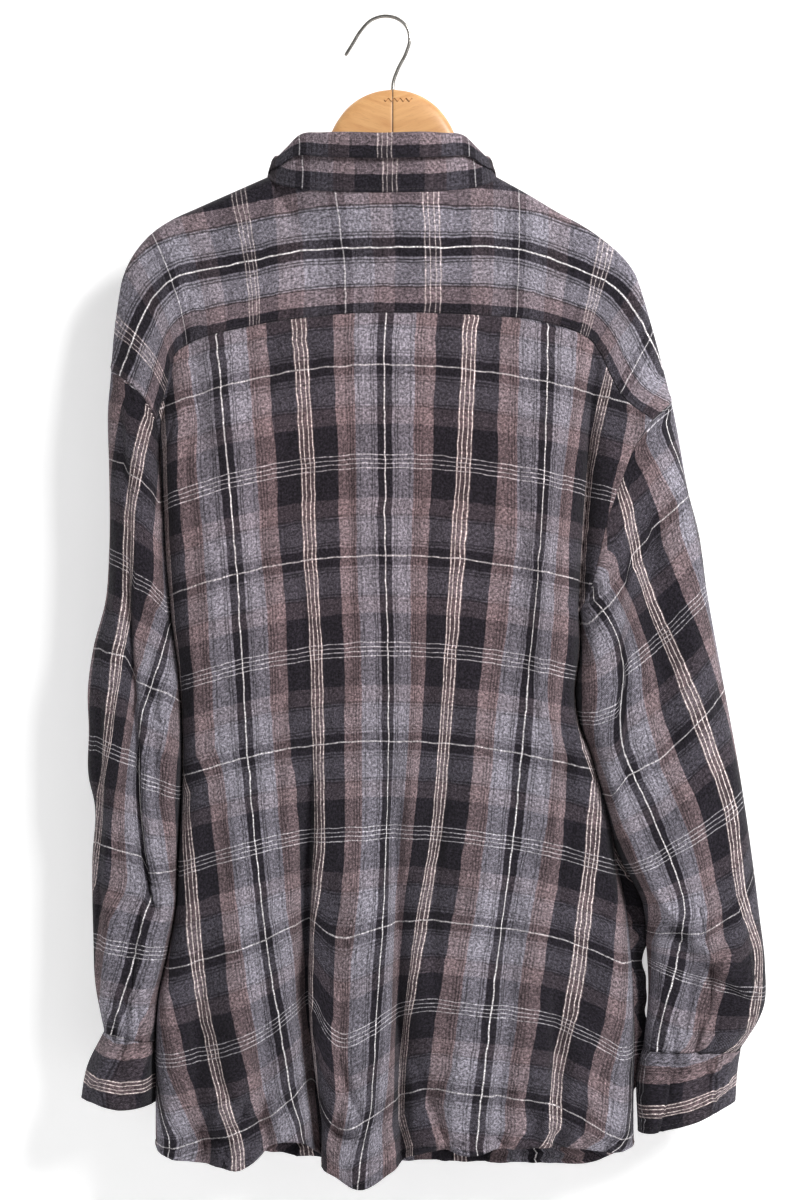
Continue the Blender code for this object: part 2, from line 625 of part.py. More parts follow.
def build_placket(front):
    """The buttonhole band on the left front, made from the front's own points, moved out."""
    across = COLLAR_CENTRE[0] + PLACKET_WIDTH * np.linspace(0.5, -0.5, PLACKET_COLUMNS + 1)
    rows = []
    for row in front:
        order = np.argsort(row[:, 0])
        rows.append(np.stack([np.interp(across, row[order, 0], column) for column in row[order].T],
                             axis=1))
    grid = np.array(rows)
    grid += BAND_STEP * normals(grid, -1)
    add_cloth("front_placket", [(grid, True)], BAND)
    return grid


def build_sleeve(side, mirrored):
    """A tube of a back half and a front half that meet at the outer edge and below the underarm."""
    head = side["head_rows"]
    outer_line = smooth_line(side["outline"], SLEEVE_LINE_POINTS)
    below = outer_line[:, 1] < side["armhole"][0][1] - 1
    outer = respaced(np.vstack([[side["armhole"][0]], outer_line[below]]), head + SLEEVE_ROWS)
    inner = respaced(smooth_line(side["inner"], SEAM_POINTS), SLEEVE_ROWS)
    halves = []
    for front in (False, True):
        names = ("front_flap", "front_arm") if front else ("back_yoke", "back_arm")
        seam = np.vstack([side[names[0]], side[names[1]][1:]])
        top = seam[:-head]
        top = halved(top) if len(top) < SLEEVE_COLUMNS else top
        edge = np.vstack([seam[-head - 1 : -1], inner])
        end = respaced(np.array([outer[-1], inner[-1]]), len(top) - 1)
        flat = patch(top, end, outer, edge)
        x, z = flat[..., 0], flat[..., 1]
        seam_gap = distance_to(seam, x, z)[0]
        share = smoothstep(seam_gap / SLEEVE_SEAM_REACH)[..., None]
        grid = lifted(flat, front) * (1 - share) + lifted(flat, front, sleeve=True) * share
        beside = 1 - quarter_round(nearest_gap(BODY_EDGES, x, z), BODY_EDGE_REACH)
        closed = read(FOLD_CLOSED, z)[..., 0] * beside
        away = closed * (1 - smoothstep(seam_gap / UNDERARM_REACH)) * (inner[0, 0] - seam[-1, 0])
        grid[:head, :, 0] += away[:head]
        grid[head:, -1, 1] = 0
        grid[:, 0, 1] = 0
        grid = drawn_back(evened(grid), ["top", "bottom"])
        grid[: head + 1] = drawn_back(grid[: head + 1], ["right"])
        halves.append(grid)
    halves[1][:, 0] = halves[0][:, 0]
    halves[1][head:, -1] = halves[0][head:, -1]
    add_cloth("sleeve_" + side["name"], [(halves[0], mirrored), (halves[1], not mirrored)])
    return halves


def build_cuff(side, mirrored, sleeve):
    """A band of two layers that goes on from the sleeve's end."""
    outer = respaced(smooth_line(side["cuff_outer"], CUFF_LINE_POINTS), CUFF_ROWS)
    inner = respaced(smooth_line(side["cuff_inner"], CUFF_LINE_POINTS), CUFF_ROWS)
    halves = []
    for front in (False, True):
        count = len(sleeve[front][0])
        top = respaced(np.array([outer[0], inner[0]]), count - 1)
        bottom = respaced(np.array([outer[-1], inner[-1]]), count - 1)
        bottom[:, 1] -= CUFF_END_DIP * np.sin(np.linspace(0, pi, count)) ** 2
        grid = lifted(patch(top, bottom, outer, inner), front, sleeve=True)
        grid[:, [0, -1], 1] = 0
        fine = np.array([respaced(row, count - 1) for row in grid])
        halves.append(drawn_back(fine, ["top"], CUFF_SEAM_GAP))
    halves[1][:, [0, -1]] = halves[0][:, [0, -1]]
    add_cloth("cuff_" + side["name"], [(halves[0], mirrored), (halves[1], not mirrored)], CUFF_WALL)
    return halves


def collar_point(angle, out, height):
    """A point at an angle from the centre back, so far outside the neck seam and above it."""
    wound = abs(angle)
    low = read(NECK, min(wound, 360 - wound))[0]
    out += COLLAR_WRAP * angle / 180
    return np.array([
        COLLAR_CENTRE[0] + (COLLAR_HALF_WIDTH + out) * sin(radians(angle)),
        COLLAR_CENTRE[1] + (COLLAR_HALF_DEPTH + out) * cos(radians(angle)),
        low + height,
    ])


def build_sleeve_placket(side, mirrored, sleeve):
    """A band on the back of the sleeve above the cuff, made from the sleeve's own points."""
    moved_out = sleeve[False] + BAND_STEP * normals(sleeve[False], 1)
    grid = moved_out[-SLEEVE_PLACKET_ROWS - 1 :, side["placket_columns"]]
    grid = drawn_back(grid, ["bottom"], SEAM_GAP)
    add_cloth("sleeve_placket_" + side["name"], [(grid, mirrored)], BAND)


def build_collar():
    reach = 180 + COLLAR_OVERLAP
    stand = []
    leaf = []
    for angle in np.linspace(reach, -reach, COLLAR_COLUMNS + 1):
        roll, lean = read(NECK, min(abs(angle), 360 - abs(angle)))[1:3]
        top = COLLAR_STAND_SHARE * roll
        beside = (abs(angle) - SHOULDER_ANGLE) / SHOULDER_SPREAD
        foot = STAND_FOOT + SHOULDER_LIFT * np.exp(-(beside ** 2))
        heights = np.linspace(top - STAND_LEAF_GAP[0], foot, STAND_ROWS + 1)
        stand.append([collar_point(angle, -lean * COLLAR_STAND_SHARE * height / top, height)
                      for height in heights])
    for angle in np.linspace(LEAF_END, -LEAF_END, COLLAR_COLUMNS + 1):
        roll, lean, fall, away = read(NECK, abs(angle))[1:]
        top = COLLAR_STAND_SHARE * roll
        section = [(-lean * COLLAR_STAND_SHARE, top + STAND_LEAF_GAP[1])]
        for outward, down, stand_off, fallen in LEAF_SECTION:
            out = -lean + LEAF_ROLL * outward + away * stand_off
            section.append((out, roll - LEAF_ROLL * down - fall * fallen))
        leaf.append([collar_point(angle, out, height) for out, height in section])
    add_cloth("collar_stand", [(np.array(stand).transpose(1, 0, 2), False)], CLOTH)
    add_cloth("collar_leaf", [(np.array(leaf).transpose(1, 0, 2), True)], CLOTH)


def add_button(name, centre, outward, diameter=BUTTON_DIAMETER):
    """A round button lying on the cloth, facing outward."""
    form = bmesh.new()
    bmesh.ops.create_cone(form, cap_ends=True, segments=BUTTON_SEGMENTS, radius1=diameter / 2 * MM,
                          radius2=diameter / 2 * BUTTON_TAPER * MM, depth=BUTTON_THICKNESS * MM)
    mesh = bpy.data.meshes.new(name)
    form.to_mesh(mesh)
    form.free()
    mesh.materials.append(horn)
    made = bpy.data.objects.new(name, mesh)
    outward = Vector(outward).normalized()
    made.rotation_mode = "QUATERNION"
    made.rotation_quaternion = outward.to_track_quat("Z", "Y")
    made.location = MM * Vector(centre) + outward * (BUTTON_THICKNESS / 2 + BUTTON_REST) * MM
    shirt.objects.link(made)
    return made


def button_on(name, grid, across, down, outward, wall):
    """A button on a grid of cloth, at shares of its width and of its length."""
    row = down * (len(grid) - 1)
    upper = min(int(row), len(grid) - 2)
    share = row - upper
    read_off = []
    for field in (grid, normals(grid, outward)):
        rows = [at_shares(grid[i], [across], field[i])[0] for i in (upper, upper + 1)]
        read_off.append(rows[0] * (1 - share) + rows[1] * share)
    centre, normal = read_off
    add_button(name, centre + normal / np.linalg.norm(normal) * wall / 2, normal)


def hanger_sections(side, sign):
    """Sections of one half: x, top z, bottom z and half thickness; the arm lies along the shoulder."""
    block = np.array([(HANGER_CENTRE + sign * out, top, top - tall, half)
                      for out, top, tall, half in HANGER_BLOCK])
    x = np.linspace(HANGER_ARM_FROM, HANGER_ARM[-1][0], HANGER_ARM_STATIONS)
    ridge = side["ridge"][np.argsort(sign * side["ridge"][:, 0])]
    low = CLOTH / 2 + HANGER_CLEARANCE
    top = np.interp(x, sign * ridge[:, 0], ridge[:, 1]) - low
    tall, half = read(HANGER_ARM, x).T
    arm = np.stack([sign * x, top, top - tall, half], axis=1)
    return np.vstack([smooth_line(np.vstack([block, arm[:1]]), HANGER_BLOCK_STATIONS)[:-1], arm])


def build_hanger_half(name, side, sign):
    """A shaped arm, lofted between rounded sections across it."""
    lofted = hanger_sections(side, sign)
    turns = np.linspace(0, 2 * pi, HANGER_SIDES, endpoint=False) + pi / HANGER_SIDES
    form = bmesh.new()
    rings = []
    for x, top, bottom, half in lofted:
        ring = []
        for turn in turns:
            across = abs(cos(turn)) ** HANGER_SQUARENESS * np.sign(cos(turn))
            up = abs(sin(turn)) ** HANGER_SQUARENESS * np.sign(sin(turn))
            z = (top + bottom) / 2 + (top - bottom) / 2 * up
            ring.append(form.verts.new((MM * x, MM * half * across, MM * z)))
        rings.append(ring)
    for first, second in zip(rings, rings[1:]):
        for i in range(HANGER_SIDES):
            beside = (i + 1) % HANGER_SIDES
            form.faces.new((first[i], first[beside], second[beside], second[i]))
    form.faces.new(rings[0])
    form.faces.new(rings[-1])
    bmesh.ops.recalc_face_normals(form, faces=form.faces)
    mesh = bpy.data.meshes.new(name)
    form.to_mesh(mesh)
    form.free()
    mesh.materials.append(birch)
    mesh.shade_smooth()
    shirt.objects.link(bpy.data.objects.new(name, mesh))


def build_hook():
    curve = bpy.data.curves.new("hanger_hook", "CURVE")
    curve.dimensions = "3D"
    curve.bevel_depth = HOOK_WIRE / 2 * MM
    curve.bevel_resolution = 2
    curve.use_fill_caps = True
    line = smooth_line(HOOK, HOOK_POINTS)
    spline = curve.splines.new("POLY")
    spline.points.add(len(line) - 1)
    for point, (x, z) in zip(spline.points, line):
        point.co = (MM * x, 0, MM * z, 1)
    curve.materials.append(nickel)
    shirt.objects.link(bpy.data.objects.new("hanger_hook", curve))


for leftover in list(bpy.data.objects):
    bpy.data.objects.remove(leftover, do_unlink=True)

shirt = bpy.data.collections.new("Flannel shirt on a wooden hanger")
bpy.context.scene.collection.children.link(shirt)
flannel = material("Brushed plaid flannel", (0.10, 0.09, 0.10), 0.9)
horn = material("Dark button", (0.05, 0.045, 0.05), 0.35)
birch = material("Lacquered birch", (0.72, 0.45, 0.2), 0.4)
nickel = material("Nickel-plated wire", (0.6, 0.58, 0.55), 0.3, 1.0)

yoke_top, yoke_seam = settle_sides()
build_yoke(yoke_top, yoke_seam)
build_back_panel(yoke_seam)
half = PLACKET_WIDTH / 2
left_front = build_front(SIDES[0], True, COLLAR_CENTRE[0] - half)
build_front(SIDES[1], False, COLLAR_CENTRE[0] + half)
placket = build_placket(left_front)
for each, mirrored in zip(SIDES, (False, True)):
    sleeve = build_sleeve(each, mirrored)
    build_sleeve_placket(each, mirrored, sleeve)
    cuff = build_cuff(each, mirrored, sleeve)
    button_on("cuff_button_" + each["name"], cuff[True], CUFF_BUTTON_ACROSS, CUFF_BUTTON_DOWN,
              -1, CUFF_WALL)
build_collar()
for i in range(FRONT_BUTTONS):
    place = np.interp(FRONT_BUTTON_PITCH * i - FRONT_BUTTON_TOP, -placket[:, 2, 2],
                      np.linspace(0, 1, len(placket)))
    button_on(f"front_button_{i + 1}", placket, 0.5, place, -1, BAND)
add_button("collar_button", collar_point(180, STAND_BUTTON_OUT, STAND_BUTTON_HEIGHT), (0, -1, 0))
build_hanger_half("hanger_half_left", SIDES[0], 1)
build_hanger_half("hanger_half_right", SIDES[1], -1)
build_hook()
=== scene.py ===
from math import cos, pi, radians, sin

import bmesh
import bpy
import numpy as np
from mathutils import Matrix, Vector


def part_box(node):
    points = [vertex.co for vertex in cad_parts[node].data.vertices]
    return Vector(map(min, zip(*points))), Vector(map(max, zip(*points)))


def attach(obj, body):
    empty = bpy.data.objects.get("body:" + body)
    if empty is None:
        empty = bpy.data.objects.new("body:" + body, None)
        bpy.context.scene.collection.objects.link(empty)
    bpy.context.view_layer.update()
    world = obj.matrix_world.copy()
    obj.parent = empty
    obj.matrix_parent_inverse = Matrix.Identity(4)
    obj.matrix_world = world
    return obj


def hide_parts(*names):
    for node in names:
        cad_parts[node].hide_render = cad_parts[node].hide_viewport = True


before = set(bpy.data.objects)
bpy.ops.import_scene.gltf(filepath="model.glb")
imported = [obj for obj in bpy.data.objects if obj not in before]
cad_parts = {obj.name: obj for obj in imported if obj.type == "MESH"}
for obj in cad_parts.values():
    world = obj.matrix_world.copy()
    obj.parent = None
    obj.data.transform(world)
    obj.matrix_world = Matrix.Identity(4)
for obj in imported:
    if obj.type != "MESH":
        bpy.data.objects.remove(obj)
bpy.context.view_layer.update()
print("frame loaded:", len(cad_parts), "CAD nodes")

mm = 0.001  # tables and lengths are in millimetres, in the frame's own axes

cloth = {
    "thickness": 0.9,
    "seamGap": 0.2,
    "cell": 2.9,  # size of the grid's cells
    "sideSeam": 0.7,  # half the gap between back and front at the side seams
    "bandThickness": 0.8,
    "collarThickness": 1.2,
    "bandStep": 1.25,  # how far a band lies above the panel under it
    "cuffThickness": 1.7,
}
shape = {
    "hemDrop": 1001,
    "bodyRounding": 20,
    "sleeveRounding": 17,
    "slack": 10,  # softens the fold beside the body above the underarm
    "crown": 80,  # how far in from the outline the cloth reaches its full depth
    "foldFade": 20,  # how near the outline folds and rumples fade out
    "leanFade": 12,
    "neckFade": (8, 66),  # how far the neck's form reaches down at its sides, and more behind
    "edgeBlend": 90,  # the sleeve's edge leaves the body's over this height
    "sleeveBlend": 70,  # body folds pass into sleeve folds over this distance
}
# Lengths that set how many cells the pieces have
spans = {
    "shoulder": 240, "neck": 180, "yoke": 120, "flap": 66, "side": 500, "back": 430,
    "frontNeck": 95, "frontTop": 235, "sleeve": 480, "sleeveHead": 125, "sleevePlacket": 150,
    "cuff": 52, "collar": 520, "stand": 34, "leaf": 50,
}

# Outline from the neck along the shoulder and down the outer edge of the sleeve: x, z
outlineLeft = [
    (101.5, -141), (131, -154), (166, -169.5), (189, -180), (205.5, -191), (220, -207),
    (231, -228), (236, -253), (241, -296), (242, -313), (245, -348), (244, -400), (244, -475),
    (247, -517), (258, -560), (263, -600), (262, -630), (262, -675), (257, -697), (259, -750),
    (258, -815), (256, -860), (248, -900),
]
outlineRight = [
    (-98.5, -141), (-129, -158), (-154, -173), (-179.5, -187), (-197, -199.5), (-211.5, -212.5),
    (-222.5, -227), (-228, -242.5), (-237, -273), (-245.5, -304), (-255, -342), (-260, -367),
    (-270, -422), (-279, -457), (-286, -507), (-299, -580), (-315, -668), (-327, -749),
    (-333, -797), (-338, -841), (-337, -878), (-316, -915),
]

# Armhole seam from the outline to the underarm: x, z
armholeLeft = [
    (242, -313), (226, -325), (210, -341), (201.5, -359), (198.5, -378), (196.2, -425),
    (194, -473),
]
armholeRight = [
    (-255, -342), (-236, -359), (-222, -380), (-208, -415), (-196, -449), (-190, -475),
    (-182, -507), (-173, -528),
]

# Edge of the body from the fold beside the hanger's end to the hem: x, z
bodyEdgeLeft = [
    (187, -239), (185, -280), (187, -306), (191, -335), (197, -362), (198, -385), (196, -425),
    (194, -473), (189, -530), (181, -592), (178.5, -655), (182, -735), (185, -792), (192, -830),
    (200, -865), (203, -905), (202.5, -957), (202.5, -shape["hemDrop"]),
]
bodyEdgeRight = [
    (-195.5, -244), (-191, -269), (-188, -294), (-186, -318), (-183, -349), (-179.5, -424),
    (-176, -476), (-173, -528), (-174, -557), (-169.5, -605), (-174, -631), (-183, -651),
    (-189, -672), (-199, -706), (-207, -756), (-213, -782), (-218, -824), (-221, -869),
    (-222, -913), (-221, -957), (-221, -shape["hemDrop"]),
]
# Inner edge of each sleeve, from the underarm to the cuff seam: x, z
sleeveInnerLeft = [
    (194.4, -473), (189.4, -530), (181.4, -592), (178.9, -655), (182.4, -735), (185.4, -792),
    (192.4, -830), (200.4, -865), (204, -907),
]
sleeveInnerRight = [
    (-173.4, -528), (-174.6, -557), (-170.2, -605), (-175, -631), (-184, -651), (-190.4, -672),
    (-201, -706), (-211.5, -740), (-222, -760), (-231.5, -778), (-234, -824), (-235, -869),
    (-230.5, -915),
]
# The right front bulges out past the side seam: z, how far
sideBulge = [
    (-1034, 4), (-1010, 8), (-960, 15), (-915, 22), (-869, 22.5), (-824, 17.5), (-790, 14),
    (-762, 10), (-740, 5), (-700, 0),
]
bulge = {"width": 16, "gain": 1.55}  # cloth that it takes up, and how much it is raised

# The yoke by distance along the cloth from its middle: s, top x, top z, seam x, seam z
yokeLine = [
    (312, 242, -313, 201.5, -359), (274, 235, -272, 192, -330), (235, 226, -217, 186.6, -305),
    (196, 205.5, -191, 174, -292), (117, 129, -153, 113.5, -275), (88, 101.5, -141, 95, -271.5),
    (39, 43, -156, 34, -265), (-1, 1.5, -158.5, -1, -264), (-40, -41, -157, -43, -264),
    (-92, -98.5, -141, -97, -267), (-120, -121, -154, -118, -268.5),
    (-198, -199, -201, -177, -285), (-237, -228, -244, -190, -299),
    (-277, -239, -281, -209, -337), (-316, -255, -342, -236, -359),
]
yokeNeck = (88, -92)  # where the neck seam ends, by distance along the cloth
yokeThread = 39  # and where a white thread runs down it

# Front yoke seam from the armhole to the neck: x, z
frontYokeLeft = [
    (226, -325), (222, -290), (212, -255), (196, -222), (166, -202), (131, -184), (94.5, -160),
]
frontYokeRight = [
    (-241, -354), (-232, -325), (-218, -290), (-203, -250), (-185, -222), (-154, -203),
    (-129, -186), (-91.5, -160),
]

# Hems, left to right: x, z
hemBack = [
    (202.5, -shape["hemDrop"]), (185, -1007), (149, -1013), (127, -1018), (112, -1008),
    (97, -995), (75, -994), (59, -1006), (39, -1026), (24, -1034), (-6, -1019), (-26, -1007),
    (-48, -1000), (-75, -1003), (-102, -1001), (-155, -998), (-190, -1000),
    (-221, -shape["hemDrop"]),
]
hemFront = [
    (202.5, -shape["hemDrop"]), (150, -1008), (80, -1014), (20, -1019), (-40, -1020),
    (-100, -1020), (-165, -1025), (-192, -1022), (-212, -1010), (-221, -shape["hemDrop"]),
]

# Depth from the hanger's plane by height: z, back, front
depthTable = [
    (-1040, 31, 23), (-900, 28, 20), (-700, 25, 17), (-520, 24, 16), (-360, 23, 15),
    (-260, 20, 14), (-200, 16, 13), (-140, 12, 12),
]
# Rounding at the outline by height: z, depth there, width of the rounding, front depth
roundingTable = [
    (-990, 35, 33, 30), (-905, 33, 26, 27), (-800, 30, 30, 22), (-600, 31, 30, 22),
    (-450, 31, 30, 22), (-300, 25, 24, 20), (-240, 16, 15, 15), (-205, 12, 10, 12),
    (-140, 11, 10, 11),
]
# How far the fold between body and sleeve is closed by height: z, share
foldClosed = [(-1040, 1), (-528, 1), (-470, 1), (-370, 0.9), (-300, 0.55), (-262, 0.2), (-236, 0)]
cuffOuterLeft = [(248, -900), (264, -934), (268, -958)]
cuffInnerLeft = [(204, -907), (203.6, -932), (203.4, -962)]
cuffOuterRight = [(-316, -915), (-314, -928), (-311, -960)]
cuffInnerRight = [(-230.5, -915), (-226.5, -930), (-226, -988)]

collar = {
    "centre": (1.5, -2),
    "halfWidth": 100,
    "halfDepth": 40,
    "standShare": 0.66,  # height of the stand in the height of the roll
    "wrap": 1.1,
    "foot": -1.8,
    "flare": 1.1,  # the stand's lower edge covers the neck seam
    "shoulderLift": 1.2,
    "roll": 4.2,
    "leafEnd": 172,  # degrees from the centre back to the leaf's end
    "overlap": 6,
}
# Neck seam: degrees from the centre back, z, height of the roll, its lean, fall and stand-off
neckTable = [
    (0, -158.5, 50.5, 1, 23, 3.2), (30, -156.5, 50, 3, 22, 3.2), (48, -153, 46, 7, 19, 3.2),
    (64, -149, 32, 9, 15, 3.2), (78, -144.8, 22, 9, 12, 3.2), (92, -140.2, 17, 7, 14, 3.6),
    (112, -160, 24, 3, 26, 6), (140, -184, 32, 1, 38, 6), (165, -201, 35, 0, 62, 6),
    (180, -206, 35, 0, 40, 6),
]
# The band of buttonholes, and the step inwards of the right front under it: x, width
placket = {"width": 35, "step": 3.7, "from": -45, "over": 24}

# Folds: path of x, z and height of the ridge (a trough is negative), width to each side of
# the path, and how far the cloth leans over sideways at the fold
backFolds = [
    {"path": [(64, -600, 0), (64, -680, -8), (65, -780, -19), (65.5, -878, -29), (59, -939, -34),
     (54, -972, -36), (54, -1035, -36)], "wide": (13, 4.5), "lean": -6},
    {"path": [(-5, -610, 0), (-8, -700, -8), (-12, -850, -16), (-17, -1035, -23)], "wide": (5, 11),
     "lean": -3},
    {"path": [(28, -620, 0), (26, -760, 7.5), (22, -900, 8), (20, -1035, 9)], "wide": (22, 18)},
    {"path": [(-110, -690, 0), (-108, -800, -7.5), (-102, -920, -9), (-98, -1035, -11)],
     "wide": (5, 14)},
    {"path": [(-150, -820, 0), (-150, -900, -7), (-151, -1035, -10)], "wide": (4, 11)},
    {"path": [(104, -800, 0), (107, -900, -7), (103, -1035, -11)], "wide": (5, 10)},
    {"path": [(160, -800, 0), (165, -870, -7.5), (163, -940, -8), (158, -1010, -9)],
     "wide": (5, 10)},
    {"path": [(132, -620, 0), (128, -780, 7.5), (126, -1035, 8)], "wide": (18, 14)},
    {"path": [(-76, -560, 0), (-82, -760, 6), (-72, -1035, 6)], "wide": (22, 20)},
    {"path": [(182, -243, 0), (173, -292, -6), (168, -316, -7), (164, -350, -7.5), (158, -410, 0)],
     "wide": (5, 12)},
    {"path": [(150, -250, 0), (140, -330, 6), (142, -470, 7.5), (150, -640, 0)], "wide": (20, 22)},
    {"path": [(-130, -300, 0), (-140, -420, 6), (-138, -600, 6), (-130, -760, 0)],
     "wide": (18, 20)},
    {"path": [(-112, -330, 0), (-117, -400, -3.6), (-119, -480, -3), (-116, -540, 0)],
     "wide": (3, 6)},
    {"path": [(32, -350, 0), (28, -440, -3.9), (27, -520, -3), (30, -600, 0)], "wide": (5, 3)},
    {"path": [(66, -430, 0), (70, -500, -3), (70, -560, -3), (66, -640, 0)], "wide": (6, 3.5)},
    {"path": [(88, -520, 0), (92, -640, -4.5), (96, -760, -3.8), (92, -850, 0)], "wide": (4, 8)},
    {"path": [(-60, -640, 0), (-50, -720, -4.5), (-44, -800, -4.5), (-46, -900, 0)],
     "wide": (6, 3.5)},
    {"path": [(-150, -520, 0), (-156, -620, -4.5), (-158, -720, -4.5), (-150, -800, 0)],
     "wide": (4, 7)},
    {"path": [(-124, -560, 0), (-136, -640, -3.8), (-142, -700, -3), (-146, -760, 0)],
     "wide": (3, 6)},
    {"path": [(-92, -390, 0), (-88, -440, -2.7), (-86, -480, 0)], "wide": (3, 5)},
    {"path": [(120, -400, 0), (112, -470, -3), (110, -540, 0)], "wide": (3, 6)},
    {"path": [(45, -905, 0), (33, -940, -7.5), (22, -966, -6), (8, -985, 0)], "wide": (5, 4)},
    {"path": [(60, -968, 0), (44, -985, -6), (24, -992, -6), (10, -992, 0)], "wide": (4, 6)},
    {"path": [(150, -905, 0), (138, -950, -6), (118, -975, -6), (96, -984, 0)], "wide": (4, 6)},
    {"path": [(-24, -900, 0), (-36, -950, -6), (-50, -985, -7.5), (-58, -1020, -4.5)],
     "wide": (4, 7)},
    {"path": [(-120, -930, 0), (-128, -962, -6), (-132, -1000, -6)], "wide": (3.5, 7)},
]
sleeveFolds = [
    {"path": [(-178, -620, 0), (-196, -662, 6), (-212, -722, 11), (-235, -764, 13),
     (-255, -790, 13), (-277, -812, 13), (-304, -843, 11), (-336, -874, 0)], "wide": (2.6, 30),
     "lean": -5},
    {"path": [(-224, -380, 0), (-230, -450, -7.5), (-240, -560, -6), (-262, -700, 0)],
     "wide": (12, 16)},
    {"path": [(-262, -900, 0), (-268, -870, -7.5), (-276, -842, -6), (-284, -828, 0)],
     "wide": (4, 8)},
    {"path": [(232, -326, 0), (231, -352, -7.5), (226, -397, -8), (222.5, -450, -9),
     (221.5, -535, -9), (217, -596, -9), (214, -653, -9), (211, -720, -9), (208, -749, -8),
     (202, -781, -7.5), (196, -800, 0)], "wide": (9, 3), "lean": -3.5},
    {"path": [(252, -560, 0), (249.5, -604, -6), (249.5, -690, -8), (250, -780, -8),
     (251, -870, -6), (248, -902, 0)], "wide": (16, 2.6)},
    {"path": [(-196, -500, 0), (-204, -560, -6), (-206, -610, -6), (-196, -650, 0)],
     "wide": (3, 9)},
    {"path": [(-212, -540, 0), (-226, -590, -4.5), (-250, -640, -3.8), (-268, -690, 0)],
     "wide": (3.5, 8)},
    {"path": [(-222, -640, 0), (-240, -680, -4.5), (-262, -700, 0)], "wide": (4, 8)},
    {"path": [(-286, -880, 0), (-292, -850, -6), (-298, -820, -4.5), (-300, -790, 0)],
     "wide": (4, 7)},
    {"path": [(206, -560, 0), (204, -630, -6), (200, -700, -6), (196, -760, 0)], "wide": (3, 8)},
    {"path": [(240, -420, 0), (243, -470, -6), (243, -530, -6), (240, -560, 0)], "wide": (9, 3)},
    {"path": [(216, -912, -6), (216, -880, -6), (218, -846, 0)], "wide": (3, 5)},
    {"path": [(227, -908, -7.5), (226, -872, -6), (229, -836, 0)], "wide": (3, 5)},
    {"path": [(238, -904, -6), (239, -872, -4.5), (238, -842, 0)], "wide": (3.5, 5)},
    {"path": [(-244, -915, -7.5), (-243, -880, -6), (-240, -840, 0)], "wide": (3, 6)},
    {"path": [(-256, -915, -6), (-254, -884, -6), (-256, -850, 0)], "wide": (3, 5)},
    {"path": [(-275, -915, -6), (-278, -890, -6), (-282, -862, 0)], "wide": (3, 5)},
]
frontFolds = [
    {"path": [(96, -330, 0), (100, -500, -5), (104, -760, -8), (100, -1035, -10)],
     "wide": (14, 5)},
    {"path": [(150, -420, 0), (146, -640, 5), (140, -1035, 7)], "wide": (18, 18)},
    {"path": [(48, -420, 0), (52, -700, -4), (50, -1035, -7)], "wide": (5, 12)},
    {"path": [(-84, -340, 0), (-90, -560, -5), (-98, -800, -8), (-104, -1035, -10)],
     "wide": (5, 14)},
    {"path": [(-140, -460, 0), (-150, -700, 5), (-160, -1035, 7)], "wide": (18, 18)},
    {"path": [(-60, -560, 0), (-66, -700, -3), (-64, -880, -4), (-70, -1020, -5)], "wide": (4, 9)},
    {"path": [(126, -700, 0), (122, -820, -4), (126, -940, -6), (120, -1020, -7)], "wide": (9, 4)},
    {"path": [(-262, -480, 0), (-270, -600, -6), (-286, -760, -6), (-300, -850, 0)],
     "wide": (14, 5)},
    {"path": [(222, -430, 0), (224, -600, -6), (226, -760, -6), (226, -880, 0)], "wide": (12, 4)},
]
rumple = [
    {"size": (46, 90), "height": 1.8, "seed": 11},
    {"size": (21, 38), "height": 2.0, "seed": 23},
    {"size": (9, 15), "height": 0.85, "seed": 37},
]
hemRumple = {"more": 1.3, "from": -880, "over": 110}  # how much more the hem is rumpled
# Fine creases left by washing: a line where the bumps cross from high to low
creases = {"size": (22, 46), "height": 2.4, "seed": 47, "width": 0.12}
# The hem: how far it rises and swings, and how its crumples fade above the stitches
hemWave = {"rise": 1.6, "swing": 2.2, "reach": 26, "crumple": 1.9, "crumpleAt": 16}
# How the cloth rises beside a kind of seam, and how the stitching puckers it
sewing = {
    "yoke": {"rise": 0.5, "width": 6, "groove": 0.35, "pucker": 0.45, "ripple": 15},
    "armhole": {"rise": 0.6, "width": 7, "groove": 0.3, "pucker": 0.6, "ripple": 18},
    "side": {"rise": 0.3, "width": 5, "groove": 0.1, "pucker": 0.5, "ripple": 20},
    "hem": {"rise": 0.45, "width": 6, "groove": 0.5, "pucker": 1.0, "ripple": 13},
    "cuff": {"rise": 0.2, "width": 4, "groove": 0.3, "pucker": 1.2, "ripple": 14},
    "band": {"rise": 0.1, "width": 3, "groove": 0.25, "pucker": 0.2, "ripple": 12},
}

puckerReach = 9  # how fast the puckers fade away from a seam

# Where threads of the warp run down the back: place across the cloth, then x, z
backWarp = [
    (-235.5, [(174, -714), (167, -799), (165, -834), (159, -874), (151, -908), (143, -944),
     (135, -976), (127, -991)]),
    (-157, [(147, -288), (143, -333), (136, -412), (129, -492), (124, -574), (120, -653),
     (113, -733), (105, -808), (92, -886), (81, -954), (71, -986)]),
    (-78.5, [(75, -271), (72, -315), (67, -394), (65, -478), (59, -561), (58, -645), (56, -724),
     (64, -803), (65, -852)]),
    (0, [(-2, -258), (0, -310), (-1, -394), (-1, -478), (-4, -561), (-4, -645), (-2, -724),
     (1, -803), (6, -878), (11, -966), (23, -1019)]),
    (78.5, [(-77, -262), (-70, -394), (-64, -478), (-58, -561), (-52, -645), (-46, -721),
     (-32, -799), (-21, -874), (-14, -949)]),
    (157, [(-144, -308), (-141, -394), (-136, -486), (-129, -561), (-121, -649), (-114, -728),
     (-103, -803), (-94, -878), (-86, -949), (-82, -988)]),
    (235.5, [(-187, -686), (-183, -736), (-176, -790), (-171, -841), (-163, -886), (-155, -914),
     (-150, -957)]),
]

